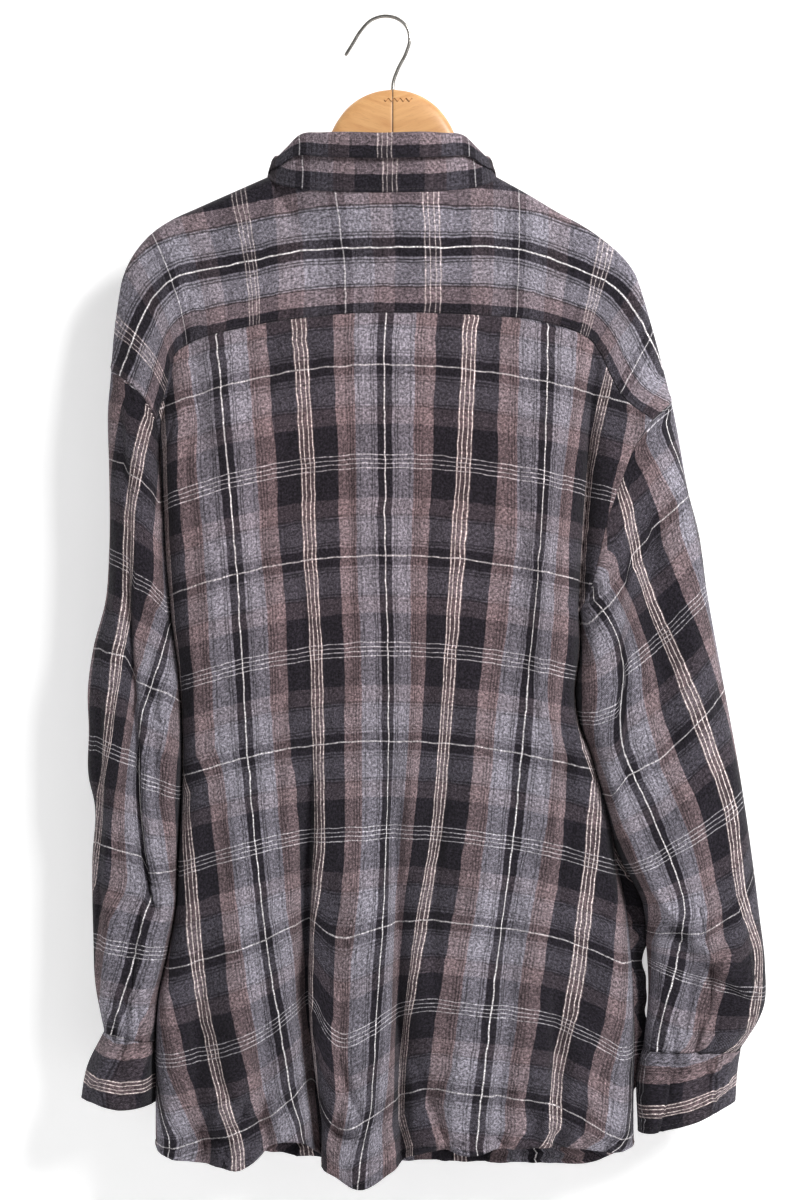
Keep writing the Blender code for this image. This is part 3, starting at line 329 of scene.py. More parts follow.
# The same on the left sleeve
sleeveWarpLeft = [
    (-78.5, [(204, -349), (212, -376), (219, -413), (223, -432), (224, -482), (225, -522),
     (233, -571), (240, -627), (246, -670), (253, -720), (259, -781)]),
    (0, [(184, -517), (190, -536), (196, -567), (206, -594), (213, -616), (215, -640), (216, -672),
     (214, -711), (209, -748), (204, -776), (212, -798), (217, -822), (220, -838), (229, -863),
     (237, -887), (243, -910)]),
]

# Where threads of the weft cross it: place down the cloth, then x, z
sleeveWeftLeft = [
    (0, [(244, -392), (229, -397), (225, -406), (213, -412), (204, -423), (200, -430)]),
    (83, [(246, -472), (243, -478), (224, -487), (219, -500), (205, -507), (193, -522)]),
    (166, [(250, -560), (244, -563), (227, -567), (217, -589), (205, -594), (190, -599),
     (179, -609)]),
    (249, [(254, -643), (246, -647), (218, -658), (213, -676), (196, -682), (176, -690)]),
    (332, [(254, -732), (247, -734), (214, -743), (207, -757), (186, -756)]),
    (415, [(259, -819), (249, -820), (223, -825), (192, -828)]),
    (498, [(250, -901), (229, -902), (228, -909), (205, -907)]),
]

# The same on the right sleeve
sleeveWarpRight = [
    (157, [(-185, -513), (-194, -526), (-204, -543), (-209, -560), (-212, -579), (-209, -605),
     (-207, -641), (-218, -669), (-231, -696), (-243, -724), (-255, -753), (-264, -783),
     (-263, -800), (-257, -835), (-250, -864), (-244, -889), (-239, -921)]),
    (78.5, [(-208, -417), (-214, -434), (-217, -456), (-221, -483), (-230, -509), (-238, -532),
     (-249, -554), (-260, -579), (-272, -609), (-279, -626), (-290, -659), (-302, -689),
     (-307, -714), (-312, -768), (-316, -788), (-332, -827), (-328, -865), (-318, -921)]),
    (0, [(-244, -347), (-250, -372), (-261, -396), (-270, -424), (-287, -473), (-299, -510),
     (-327, -579)]),
]

# Its weft
sleeveWeftRight = [
    (-83, [(-208, -385), (-228, -366), (-252, -343), (-269, -328)]),
    (0, [(-180, -539), (-198, -522), (-214, -500), (-216, -479), (-232, -464), (-235, -455),
     (-270, -424), (-291, -404)]),
    (83, [(-185, -622), (-206, -615), (-209, -607), (-212, -577), (-249, -547), (-285, -511),
     (-300, -496)]),
    (166, [(-201, -689), (-213, -672), (-243, -657), (-275, -627), (-298, -600), (-313, -584)]),
    (249, [(-211, -758), (-243, -743), (-275, -724), (-305, -704), (-322, -690)]),
    (332, [(-225, -812), (-279, -810), (-312, -792), (-327, -758)]),
    (415, [(-236, -835), (-268, -848), (-295, -855), (-334, -867)]),
    (498, [(-228, -916), (-263, -929), (-290, -926), (-318, -915)]),
]

hanger = {
    "joint": -7.6,
    "armFrom": 106,
    "clearance": 2.05,
    "squareness": 0.75,
    "bevel": 1.3,
    "fastener": (0, -25),  # x of its ends
    "fasteners": {"fastener_upper": -73.8, "fastener_lower": -104.5},  # z of each
    "wave": (1.3, 5.2),  # height and length of a fastener's waves
}
# Each half of the hanger: distance from the joint, top z, height of the section, half thickness
hangerBlock = [
    (0.02, -63.5, 88, 8), (14, -65.5, 86, 8), (28, -71, 79, 8), (40, -80, 69, 8),
    (50, -93, 57, 7.8), (58, -110, 43, 7.6), (66, -125, 33, 7.2), (78, -139, 27, 6.6),
    (90, -147, 25, 6),
]
# and of its arm: x, height of the section, half thickness
hangerArm = [
    (100, 25, 6.3), (140, 24, 6.3), (175, 22, 6.2), (200, 17, 5.6), (209, 11, 4.4), (214, 5, 2.8),
]
hookWire = 3.3
hookLine = [
    (-7.6, -63.9), (-8, -58), (-12, -46), (-19.5, -31), (-22.6, -20), (-20.6, -9), (-12.5, -1),
    (0, 1.65), (11.5, -2), (20.5, -11), (28, -23), (34.5, -33.5),
]
buttons = {"size": 11, "thickness": 2.4, "hole": 0.75, "holeOut": 1.6, "threadOut": 1.7}
# A button's section: share of its radius, share of its thickness
buttonRings = [
    (0, 0), (0.86, 0), (1, 0.35), (1, 0.75), (0.93, 1), (0.8, 1), (0.68, 0.8), (0.3, 0.72),
    (0, 0.72),
]
thread = {"pitch": 3.2, "length": 2.5, "width": 0.55, "height": 0.16}
# How far in from an edge the stitches lie, and how high above the middle of the cloth
stitchIn = {"yoke": 1.6, "hem": 6.5, "band": 5.5, "sleeveBand": 2.5, "stand": 2.6}
stitchLift = {"panel": 0.5, "band": 0.45, "cuff": 0.9, "collar": 0.65}

sheets = {}

# Place down the middle of the body: z, distance along the warp from a white thread
centreTable = [
    (-310, 0), (-395, 83), (-477.9, 166), (-560, 249), (-641.2, 332), (-721, 415),
    (-798.7, 498), (-874, 581), (-949.2, 664), (-1035, 752),
]
weftSag = (0.000977, 0.00075)  # the threads' drop by the square of x, left and right
# How much lower the threads hang near the hem: x, drop
hemDroop = [
    (184.8, 48.4), (131.1, 35.2), (98.6, 20.2), (81, 5.3), (61.6, -4.4), (53.7, 14.9),
    (11.4, 22), (-7.9, 8.8), (-38.7, -2.7), (-60.7, -0.9), (-103.8, 4.4), (-146, 10.5),
    (-167, 19.3), (-208.6, 42.2),
]
# White thread across the yoke: x, z
yokeWhite = [
    (233, -320), (220, -286), (203, -249), (183, -232), (149, -224), (112, -217), (75, -209),
    (38, -207), (1, -206), (-36, -206), (-73, -205), (-100, -205), (-127, -209), (-154, -218),
    (-181, -229), (-201, -239), (-222, -264), (-238, -293), (-247, -313),
]
yokeEdge = 60  # place down the cloth of the yoke's lower edge
cuffWeave = {"bottom": 103, "stretch": 1.25, "along": 8, "alongStretch": 0.6}  # places, scales
cuffBow = 4  # how much lower the middle of a cuff hangs
# Waves of the cuff: height, size, slant, seed
cuffWaves = [(1.3, (24, 60), 0, 121), (0.9, (11, 17), 0.5, 131)]

plaid = {
    "warpHalf": 78.5,  # from a white thread to the middle of the next four light threads
    "weftHalf": 83,
    "twill": 1.5,
    "warpShare": 0.7,  # how much of the warp shows
    "reverseShare": 0.25,  # and how much of it on the reverse
    "brownAt": (0.01, 0.03, -0.42),
    "thick": 0.38,  # how much more a light thread shows than its neighbours
    "white": (224, 219, 220),
    "cream": (230, 216, 212),
    "pale": (216, 212, 216),
    "charcoal": (40, 37, 43),
    "brown": (130, 111, 113),
    "dun": (124, 110, 115),
    "grey": (141, 137, 147),
    "mid": (100, 85, 87),
}
# The flannel's surface
nap = {
    "wander": 3.2,  # how far a thread strays
    "thin": (0.35, 0.6),  # half a thin line and its soft edge
    "yarn": (0.9, 0.05),  # how fast the tone changes across the yarns and along them
    "yarnTones": (0.9, 1.1),
    "fray": 1.6,
    "twillTones": 0.16,
    "heather": 0.42,
    "heatherTones": (0.05, 1.95),
    "wear": 0.016,
    "wearTones": (0.93, 1.07),
    "keptTint": (1.0, 0.97, 0.965),
    "keptReach": (0.08, 0.27),
    "crinkle": 0.14,
    "rises": (0.25, 1.2, 5.5),  # of the twill, the heather and the crinkles
    "bump": (0.7, 0.0006),  # strength, distance
}
# Bands from a white thread to half the repeat: start, end, colour
warpBands = [
    (0, 0.7, "white"), (0.7, 7.2, "charcoal"), (7.2, 28.5, "grey"), (28.5, 47.5, "brown"),
    (47.5, 71.2, "charcoal"), (71.2, 71.9, "mid"), (71.9, 72.9, "cream"), (72.9, 75.7, "mid"),
    (75.7, 76.6, "cream"), (76.6, 78.5, "mid"),
]
weftBands = [
    (0, 0.75, "white"), (0.75, 8.2, "charcoal"), (8.2, 35, "grey"), (35, 51, "dun"),
    (51, 76.6, "charcoal"), (76.6, 77.6, "pale"), (77.6, 80.6, "charcoal"), (80.6, 81.6, "pale"),
    (81.6, 83, "charcoal"),
]
# Thin dark threads: place, strength
warpLines = [(10.4, 0.34), (12.8, 0.3), (24.6, 0.24), (31.2, 0.3), (34, 0.3), (37, 0.24)]
weftLines = [(10.6, 0.5), (13.2, 0.42), (33.2, 0.5), (36, 0.46)]
wood = {
    "light": (232, 180, 122),
    "dark": (212, 155, 100),
    "fleck": (162, 105, 62),
    "slant": 0.35,
    "grain": (14.0, 120.0, 160.0),  # scale along, through and across the grain
    "flecks": (130.0, 1400.0, 1600.0),
    "glue": (0.0003, 0.0008),  # half the dark line at the joint, and where it ends
}
threadColours = ((38, 36, 40), (84, 78, 82))
metals = {
    "wire": {"colour": (190, 186, 180), "roughness": 0.24},
    "steel": {"colour": (150, 104, 66), "roughness": 0.45},
}
horn = {"light": (52, 46, 46), "dark": (24, 22, 25)}
# Near-black of each button hole: painted shade on a disc where the open hole is
holeShade = {"light": (12, 11, 12), "dark": (8, 8, 9)}


def readTable(table, at):
    # a table's columns at the given keys, on a smooth cubic between its rows
    rows = np.array(sorted(table), float)
    keys = rows[:, 0]
    values = rows[:, 1:]
    slopes = np.gradient(values, keys, axis=0)
    at = np.clip(np.asarray(at, float), keys[0], keys[-1])
    cell = np.clip(np.searchsorted(keys, at) - 1, 0, len(keys) - 2)
    step = (keys[cell + 1] - keys[cell])[..., None]
    t = (at - keys[cell])[..., None] / step
    start = values[cell] * (1 + 2 * t) * (1 - t) ** 2 + slopes[cell] * step * t * (1 - t) ** 2
    end = values[cell + 1] * (3 - 2 * t) * t**2 - slopes[cell + 1] * step * (1 - t) * t**2
    return start + end


def lengths(points):
    steps = np.linalg.norm(np.diff(points, axis=0), axis=1)
    return np.concatenate([[0], np.cumsum(steps)])


def readColumns(at, run, table):
    # every column of a table, between its rows
    return np.stack([np.interp(at, run, column) for column in table.T], axis=1)


def respaced(points, count):
    # the line in equal steps
    run = lengths(points)
    return readColumns(np.linspace(0, 1, count + 1) * run[-1], run, points)


def smoothLine(points, count):
    points = np.array(points, float)
    run = lengths(points)
    table = [(key, *row) for key, row in zip(run, points)]
    return respaced(readTable(table, np.linspace(0, run[-1], 12 * len(points))), count)


def smoothStep(t):
    t = np.clip(t, 0, 1)
    return t * t * (3 - 2 * t)


def quarterRound(distance, width):
    t = np.clip(distance / width, 0, 1)
    return np.sqrt(np.clip(1 - (1 - t) ** 2, 0, 1))


def bump(distance, width):
    return np.exp(-((distance / width) ** 2))


def softNoise(u, v, size, seed):
    # smooth bumps between -1 and 1, one about every size
    lattice = np.random.default_rng(seed).uniform(-1, 1, (89, 89))
    u, v = u / size[0], v / size[1]
    i, j = np.floor(u).astype(int), np.floor(v).astype(int)
    fu, fv = smoothStep(u - i), smoothStep(v - j)
    first = lattice[i % 89, j % 89] * (1 - fu) + lattice[(i + 1) % 89, j % 89] * fu
    second = lattice[i % 89, (j + 1) % 89] * (1 - fu) + lattice[(i + 1) % 89, (j + 1) % 89] * fu
    return first * (1 - fv) + second * fv


def distanceTo(line, x, z):
    # distance from a line, the side of it, the place along it and its direction there
    start = line[:-1, :2]
    step = np.diff(line[:, :2], axis=0)
    px = x[..., None] - start[:, 0]
    pz = z[..., None] - start[:, 1]
    t = np.clip((px * step[:, 0] + pz * step[:, 1]) / (step**2).sum(1), 0, 1)
    gap = np.hypot(px - t * step[:, 0], pz - t * step[:, 1])
    nearest = gap.argmin(-1)[..., None]
    side = step[:, 0] * pz - step[:, 1] * px
    gap, side, t = [np.take_along_axis(a, nearest, -1)[..., 0] for a in (gap, side, t)]
    return gap, side, t + nearest[..., 0], step[nearest[..., 0]]


def nearestGap(lines, x, z):
    return np.minimum(distanceTo(lines[0], x, z)[0], distanceTo(lines[1], x, z)[0])


def foldRelief(folds, x, z):
    # height of the ridges and troughs, and how far each point leans over sideways
    height = np.zeros_like(x)
    lean = np.zeros(x.shape + (2,))
    for fold in folds:
        line = smoothLine(fold["path"], 24)
        gap, side, along, direction = distanceTo(line, x, z)
        size = np.interp(along, np.arange(len(line)), line[:, 2])
        width = np.where(side > 0, fold["wide"][0], fold["wide"][1])
        height += size * bump(gap, width)
        if "lean" in fold:
            signed = np.where(side > 0, gap, -gap)
            trough = line[:, 2].mean() < 0
            over = fold["wide"][0] if fold["lean"] > 0 else -fold["wide"][1]
            centre = 1.2 * over if trough else 0
            share = bump(signed - centre, abs(over)) * np.abs(size) / np.abs(line[:, 2]).max()
            across = np.stack([direction[..., 1], -direction[..., 0]], axis=-1)
            across /= np.linalg.norm(across, axis=-1, keepdims=True)
            lean += fold["lean"] * share[..., None] * across
    return height, lean


outlines = [
    np.vstack([smoothLine(outlineLeft, 90), smoothLine(cuffOuterLeft, 8)[1:]]),
    np.vstack([smoothLine(outlineRight, 90), smoothLine(cuffOuterRight, 8)[1:]]),
]
bodyEdges = [smoothLine(bodyEdgeLeft, 90), smoothLine(bodyEdgeRight, 90)]


def sleeveEdge(bodyEdge, inner, cuffInner):
    above = bodyEdge[bodyEdge[:, 1] > inner[0][1] + 1]
    away = inner[0][0] - np.interp(inner[0][1], bodyEdge[::-1, 1], bodyEdge[::-1, 0])
    share = smoothStep((above[0, 1] - above[:, 1]) / shape["edgeBlend"])
    above = above + np.outer(share, (away, 0))
    return np.vstack([above, smoothLine(inner, 60), smoothLine(cuffInner, 8)[1:]])


sleeveEdges = [
    sleeveEdge(bodyEdges[0], sleeveInnerLeft, cuffInnerLeft),
    sleeveEdge(bodyEdges[1], sleeveInnerRight, cuffInnerRight),
]


def neckEdge(x, front):
    across = np.clip((x - collar["centre"][0]) / collar["halfWidth"], -1, 1)
    angle = np.degrees(np.arcsin(np.abs(across)))
    angle = 180 - angle if front else angle
    z = readTable(neckTable, angle)[..., 0]
    return z, collar["centre"][1] + collar["halfDepth"] * np.cos(np.radians(angle))


def rumpled(x, z, front):
    total = np.zeros_like(x)
    low = 1 + hemRumple["more"] * smoothStep((hemRumple["from"] - z) / hemRumple["over"])
    for layer in rumple:
        bumps = softNoise(x + 400, z + 1200, layer["size"], layer["seed"] + front)
        total += layer["height"] * bumps
    lines = softNoise(x + 0.3 * z + 900, z + 1200, creases["size"], creases["seed"] + front)
    total -= creases["height"] * bump(lines, creases["width"])
    return total * low


def baseDepth(x, z, front, sleeve, folds):
    base = readTable(depthTable, z)[..., 1 if front else 0]
    rounding = readTable(roundingTable, z)
    rim = rounding[..., 2 if front else 0]
    gap = nearestGap(outlines, x, z)
    height = rim * quarterRound(gap, rounding[..., 1])
    height = height + np.maximum(base - rim, 0) * smoothStep(gap / shape["crown"])
    height = height + (folds + rumpled(x, z, front)) * quarterRound(gap, shape["foldFade"])
    closed = readTable(foldClosed, z)[..., 0]
    foldGap = nearestGap(sleeveEdges if sleeve else bodyEdges, x, z)
    foldWidth = shape["sleeveRounding"] if sleeve else shape["bodyRounding"]
    slack = shape["slack"] * (1 - closed)
    height = height * (1 - closed * (1 - quarterRound(foldGap + slack, foldWidth + slack)))
    y = -height if front else height
    across = np.clip(np.abs(x - collar["centre"][0]) / collar["halfWidth"], 0, 1)
    topZ, topY = neckEdge(x, front)
    least, more = shape["neckFade"]
    t = np.clip((topZ - z) / (least + more * (1 - across**2)), 0, 1)
    share = (1 - across**4) * smoothStep(t) + across**4 * quarterRound(t, 1)
    return np.where(across < 1, topY + (y - topY) * share, y)


def lifted(points, front=False, sleeve=False):
    # a grid of x, z lifted to its depth, with its folds leaned over
    x, z = points[..., 0], points[..., 1]
    large = frontFolds if front else sleeveFolds if sleeve else backFolds
    height, lean = foldRelief(large, x, z)
    y = baseDepth(x, z, front, sleeve, height)
    lean *= smoothStep(nearestGap(outlines, x, z) / shape["leanFade"])[..., None]
    return np.stack([x + lean[..., 0], y, z + lean[..., 1]], axis=-1)


def patch(top, bottom, left, right):
    # a grid between four sides; top and bottom run from left to right
    u = (lengths(top) / lengths(top)[-1] + lengths(bottom) / lengths(bottom)[-1]) / 2
    v = (lengths(left) / lengths(left)[-1] + lengths(right) / lengths(right)[-1]) / 2
    u = u[None, :, None]
    v = v[:, None, None]
    across = (1 - u) * left[:, None] + u * right[:, None]
    down = (1 - v) * top[None] + v * bottom[None]
    start = (1 - u) * top[0] + u * top[-1]
    end = (1 - u) * bottom[0] + u * bottom[-1]
    return across + down - (1 - v) * start - v * end


def smoothed(field, reach):
    # each column averaged over a few rows
    window = 1 + 2 * max(1, round(reach / cloth["cell"]))
    padded = np.pad(field, ((window // 2, window // 2), (0, 0)), mode="reflect", reflect_type="odd")
    total = np.cumsum(np.vstack([np.zeros((1, field.shape[1])), padded]), axis=0)
    return (total[window:] - total[:-window]) / window


def evened(grid):
    # each row below the first spaced evenly along the cloth, the same way as its neighbours
    count = np.arange(grid.shape[1])
    places = []
    for row in grid:
        run = lengths(row)
        places.append(np.interp(np.linspace(0, run[-1], len(run)), run, count))
    places = smoothed(smoothed(np.array(places), 24), 24)
    places[0] = count
    places[:, [0, -1]] = 0, count[-1]
    return np.array([readColumns(place, count, row) for place, row in zip(places, grid)])


def viewFrom(grid, side):
    # the grid with the named side first
    if side == "top":
        return grid
    if side == "bottom":
        return grid[::-1]
    turned = grid.swapaxes(0, 1)
    return turned if side == "left" else turned[::-1]


def drawnBack(grid, sides, gap):
    grid = grid.copy()
    for side in sides:
        view = viewFrom(grid, side)
        edge = np.gradient(view[0], axis=0)
        edge /= np.linalg.norm(edge, axis=-1, keepdims=True)
        step = view[2] - view[0]
        step -= (step * edge).sum(-1, keepdims=True) * edge
        view[0] += gap * step / np.maximum(np.linalg.norm(step, axis=-1, keepdims=True), 0.01)
    return grid


def normals(grid, outward):
    found = np.cross(np.gradient(grid, axis=0), np.gradient(grid, axis=1))
    found /= np.maximum(np.linalg.norm(found, axis=-1, keepdims=True), 1e-9)
    return found * outward


def raised(grid, outward, height):
    return grid + normals(grid, outward) * height[..., None]


def fromSide(grid, side):
    # distance of each point from a side along the cloth, and the run along that side
    view = viewFrom(grid, side)
    steps = np.linalg.norm(np.diff(view, axis=0), axis=-1)
    away = np.vstack([np.zeros((1, steps.shape[1])), np.cumsum(steps, axis=0)])
    run = np.broadcast_to(lengths(view[0]), away.shape)
    if side in ("top", "bottom"):
        return viewFrom(away, side), viewFrom(run, side)
    back = slice(None, None, -1 if side == "right" else 1)
    return away[back].T, run[back].T


def seamRelief(grid, seams, seed):
    # a seam allowance raises the cloth beside a seam, and the stitching puckers it
    height = np.zeros(grid.shape[:2])
    for side, style in seams.items():
        away, run = fromSide(grid, side)
        size = sewing[style]
        height += size["rise"] * bump(away - size["width"] / 2, size["width"] / 2)
        height -= size["groove"] * bump(away - size["width"], 0.9)
        ripple = softNoise(run, away, (size["ripple"], 16), seed)
        ripple += 0.5 * softNoise(run, away, (size["ripple"] * 0.45, 9), seed + 1)
        fade = np.exp(-away / puckerReach) * smoothStep(away / 1.2)
        height += size["pucker"] * ripple * fade
    return height


def alongEdge(grid, outward, side, away, share=(0, 1)):
    # the line of points at a distance from a side of the grid, with the cloth's direction there
    facing = normals(grid, outward)
    view, facing = viewFrom(grid, side), viewFrom(facing, side)
    first, last = [int(s * (view.shape[1] - 1)) for s in share]
    places, directions = [], []
    for i in range(first, last + 1):
        run = lengths(view[:, i])
        places.append([np.interp(away, run, view[:, i, k]) for k in range(3)])
        directions.append([np.interp(away, run, facing[:, i, k]) for k in range(3)])
    return np.array(places), np.array(directions)


def armhole(points, corner, yokeRows, armholeRows):
    # the armhole seam in two stretches: along the yoke's end, then down to the underarm
    line = smoothLine(points, 300)
    split = np.hypot(*(line - corner).T).argmin()
    return respaced(line[: split + 1], yokeRows), respaced(line[split:], armholeRows)


def cells(length):
    return max(3, round(length / cloth["cell"]))


sides = [
    {"name": "left", "armhole": armholeLeft, "corner": (201.5, -359), "flap": (226, -325),
     "frontYoke": frontYokeLeft, "outline": outlineLeft, "inner": sleeveInnerLeft,
     "cuffOuter": cuffOuterLeft, "cuffInner": cuffInnerLeft, "head": 98, "backCorner": (199, -340),
     "frontCorner": (203, -234), "placket": (0.56, 0.9), "warp": sleeveWarpLeft,
     "weft": sleeveWeftLeft, "turned": False},
    {"name": "right", "armhole": armholeRight, "corner": (-236, -359), "flap": (-241, -354),
     "frontYoke": frontYokeRight, "outline": outlineRight, "inner": sleeveInnerRight,
     "cuffOuter": cuffOuterRight, "cuffInner": cuffInnerRight, "head": 120, "backCorner": None,
     "frontCorner": (-200, -243), "placket": (0.2, 0.48), "warp": sleeveWarpRight,
     "weft": sleeveWeftRight, "turned": True},
]
shoulderCells = cells(spans["shoulder"])
neckCells = cells(spans["neck"])
yokeRows = cells(spans["yoke"])
flapRows = cells(spans["flap"])
sideRows = cells(spans["side"])


def sideSeam(edge, underarm):
    below = edge[edge[:, 1] < underarm[1] - 1]
    return respaced(np.vstack([[underarm], below]), sideRows)


def nearest(line, point):
    return np.hypot(*(line[:, :2] - point).T).argmin()


def settleSides():
    # the seam lines that neighbouring pieces share
    keys = np.concatenate([
        np.linspace(yokeLine[0][0], yokeNeck[0], shoulderCells + 1),
        np.linspace(*yokeNeck, neckCells + 1)[1:],
        np.linspace(yokeNeck[1], yokeLine[-1][0], shoulderCells + 1)[1:],
    ])
    rows = readTable(yokeLine, keys)
    top = rows[:, :2]
    seam = rows[:, 2:]
    neck = slice(shoulderCells, shoulderCells + neckCells + 1)
    top[neck, 1] = neckEdge(top[neck, 0], False)[0]
    shoulders = [np.arange(shoulderCells + 1), np.arange(len(top) - 1, neck.stop - 2, -1)]
    for side, shoulder, edge, outline in zip(sides, shoulders, bodyEdges, outlines):
        fine = respaced(outline, 1600)
        for i in shoulder:
            top[i] = fine[nearest(fine, top[i])]
        side["backYoke"], arm = armhole(side["armhole"], side["corner"], yokeRows, 400)
        side["backArm"] = respaced(arm, cells(lengths(arm)[-1]))
        side["frontFlap"], arm = armhole(side["armhole"], side["flap"], flapRows, 400)
        side["frontArm"] = respaced(arm, cells(lengths(arm)[-1]))
        side["side"] = sideSeam(edge, side["backArm"][-1])
        end = shoulder[0]
        top[end] = side["backYoke"][0]
        seam[end] = side["backYoke"][-1]
        side["shoulder"] = shoulder
        side["ridge"] = top[shoulder]
        front = smoothLine([side["frontFlap"][-1], *side["frontYoke"][1:]], shoulderCells)
        reach = front[-1][0] - side["ridge"][-1][0]
        neckX = side["ridge"][-1][0] + reach * np.linspace(0, 1, flapRows + 1)
        neckLine = np.stack([neckX, neckEdge(neckX, True)[0]], axis=1)
        neckLine[0] = side["ridge"][-1]
        front[-1] = neckLine[-1]
        side["frontSeam"] = front
        side["flapNeck"] = neckLine
    return top, seam, keys


def placeWarp(grid, lines):
    # place across the cloth, read from the threads that each row crosses
    place = np.zeros(grid.shape[:2])
    for i, row in enumerate(grid):
        run = lengths(row)
        marks = []
        for key, line in lines:
            line = np.array(line[::-1], float)
            off = row[:, 0] - np.interp(row[:, 2], line[:, 1], line[:, 0])
            crossed = np.nonzero(off[:-1] * off[1:] <= 0)[0]
            if len(crossed) == 0:
                continue
            k = crossed[0]
            z = row[k, 2]
            if not line[0, 1] - 40 < z < line[-1, 1] + 40:
                continue
            share = off[k] / (off[k] - off[k + 1] + 1e-9)
            marks.append((run[k] + share * (run[k + 1] - run[k]), key))
        marks = np.array(sorted(marks, key=lambda mark: mark[1]))
        if len(marks) == 0:
            place[i] = run - run[len(run) // 2]
            continue
        at, key = marks.T
        at = np.maximum.accumulate(at + 1e-4 * np.arange(len(at)))
        place[i] = np.interp(run, at, key)
        place[i] += np.minimum(run - at[0], 0) + np.maximum(run - at[-1], 0)
    return smoothed(place, 12)


def placeWeft(grid, lines):
    # place down the cloth, between the threads of the weft above and below each point
    x, z = grid[..., 0], grid[..., 2]
    levels = []
    for key, line in lines:
        line = np.array(sorted(line), float)
        levels.append(np.interp(x, line[:, 0], line[:, 1]))
    keys = [key for key, line in lines]
    place = keys[0] - (z - levels[0])
    for above, below, high, low in zip(levels, levels[1:], keys, keys[1:]):
        share = (above - z) / np.maximum(above - below, 1)
        place = np.where(z < above, high + (low - high) * share, place)
    place = np.where(z < levels[-1], keys[-1] + levels[-1] - z, place)
    return smoothed(place, 6)


def centreWeft(x, z):
    # place down the middle of the body; the threads hang lower towards the sides
    upper = np.where(x > 0, *weftSag) * x**2
    lower = readTable(hemDroop, np.clip(x, -208, 184))[..., 0]
    share = smoothStep((-700 - z) / 250)
    z = z + upper * (1 - share) + lower * share
    rows = np.array(sorted(centreTable), float)
    place = np.interp(z, rows[:, 0], rows[:, 1])
    return place - np.maximum(z - rows[-1, 0], 0) + np.maximum(rows[0, 0] - z, 0)


def addObject(name, data):
    made = bpy.data.objects.new(name, data)
    bpy.context.scene.collection.objects.link(made)
    return made


def addCloth(name, grids, style, nodes=(), thickness=None):
    # one piece of cloth from grids of points with their places on the cloth, given a wall
    form = bmesh.new()
    layer = form.loops.layers.uv.new("cloth")
    for grid, across, down, turned in grids:
        points = [[form.verts.new(mm * Vector(point)) for point in row] for row in grid]
        last = grid.shape[1] - 1
        for i, (upper, lower) in enumerate(zip(points, points[1:])):
            for k in range(last):
                places = [(i, k), (i + 1, k), (i + 1, k + 1), (i, k + 1)]
                corners = [upper[k], lower[k], lower[k + 1], upper[k + 1]]
                if turned:
                    places, corners = places[::-1], corners[::-1]
                face = form.faces.new(corners)
                for loop, at in zip(face.loops, places):
                    loop[layer].uv = (across[at], down[at])
    bmesh.ops.remove_doubles(form, verts=form.verts, dist=1e-6)
    mesh = bpy.data.meshes.new(name)
    form.to_mesh(mesh)
    form.free()
    mesh.shade_smooth()
    made = addObject(name, mesh)
    wall = made.modifiers.new("wall", "SOLIDIFY")
    wall.thickness = (thickness or cloth["thickness"]) * mm
    wall.offset = 0
    wall.use_quality_normals = True
    mesh.materials.append(style)
    settle(made, nodes)
    sheets[name] = {"object": made, "grids": [entry[0] for entry in grids], "sewn": []}


def flatCut(grids, around):
    # width, length and area of the flat cloth, from its own threads; around is for a tube
    widths = [max(lengths(row)[-1] for row in grid) for grid in grids]
    tall = [max(lengths(column)[-1] for column in grid.swapaxes(0, 1)) for grid in grids]
    area = 0
    for grid in grids:
        diagonals = np.cross(grid[1:, 1:] - grid[:-1, :-1], grid[1:, :-1] - grid[:-1, 1:])
        area += np.linalg.norm(diagonals, axis=-1).sum() / 2
    width = sum(widths) if around else max(widths)
    length = max(tall) if around else tall[0] + max(tall[1:], default=0)
    return width * mm, length * mm, min(area * mm**2, width * length * mm**2)


def declareSheets():
    for name, sheet in sheets.items():
        around = name.startswith(("sleeve_left", "sleeve_right", "cuff"))
        width, length, area = flatCut(sheet["grids"], around)
        if name.startswith("collar"):
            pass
        elif name == "yoke_cloth":
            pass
        else:
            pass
        print(f"{name}: cut {width * 1000:.0f} x {length * 1000:.0f} mm, {area * 1e4:.0f} cm2")


def settle(made, nodes=()):
    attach(made, "root")
    if nodes:
        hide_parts(*nodes)


def buildYoke():
    back = lifted(patch(yokeTop, yokeSeam, sides[0]["backYoke"], sides[1]["backYoke"]))
    for side in sides:
        back[0, side["shoulder"], 1] = 0
    gap = cloth["seamGap"]
    back = drawnBack(drawnBack(back, ["bottom"], gap), ["left", "right"], gap / 2)
    across = np.broadcast_to(yokeThread - yokeKeys, back.shape[:2]).copy()
    off, below = distanceTo(smoothLine(yokeWhite, 80), back[..., 0], back[..., 2])[:2]
    down = np.where(below > 0, off, -off)
    # the dark band of the weft runs along the seam
    away = fromSide(back, "bottom")[0]
    down += (yokeEdge - down[-1]) * smoothStep(1 - away / 45)
    seams = {"bottom": "yoke", "left": "armhole", "right": "armhole"}
    back = raised(back, 1, seamRelief(back, seams, 51))
    for side in sides:
        back[0, side["shoulder"], 1] = 0
    grids = [(back, across, down, False)]
    for side in sides:
        flat = patch(side["ridge"], side["frontSeam"], side["frontFlap"], side["flapNeck"])
        flap = drawnBack(lifted(flat, True), ["bottom", "left"], gap / 2)
        flapDown = down[0, side["shoulder"]] - fromSide(flap, "top")[0]
        relief = seamRelief(flap, {"bottom": "yoke", "left": "armhole"}, 61)
        flap = raised(flap, 1 if side["turned"] else -1, relief)
        flap[0] = back[0, side["shoulder"]]
        keys = np.broadcast_to(across[0, side["shoulder"]], flap.shape[:2]).copy()
        grids.append((flap, keys, flapDown, not side["turned"]))
    return grids


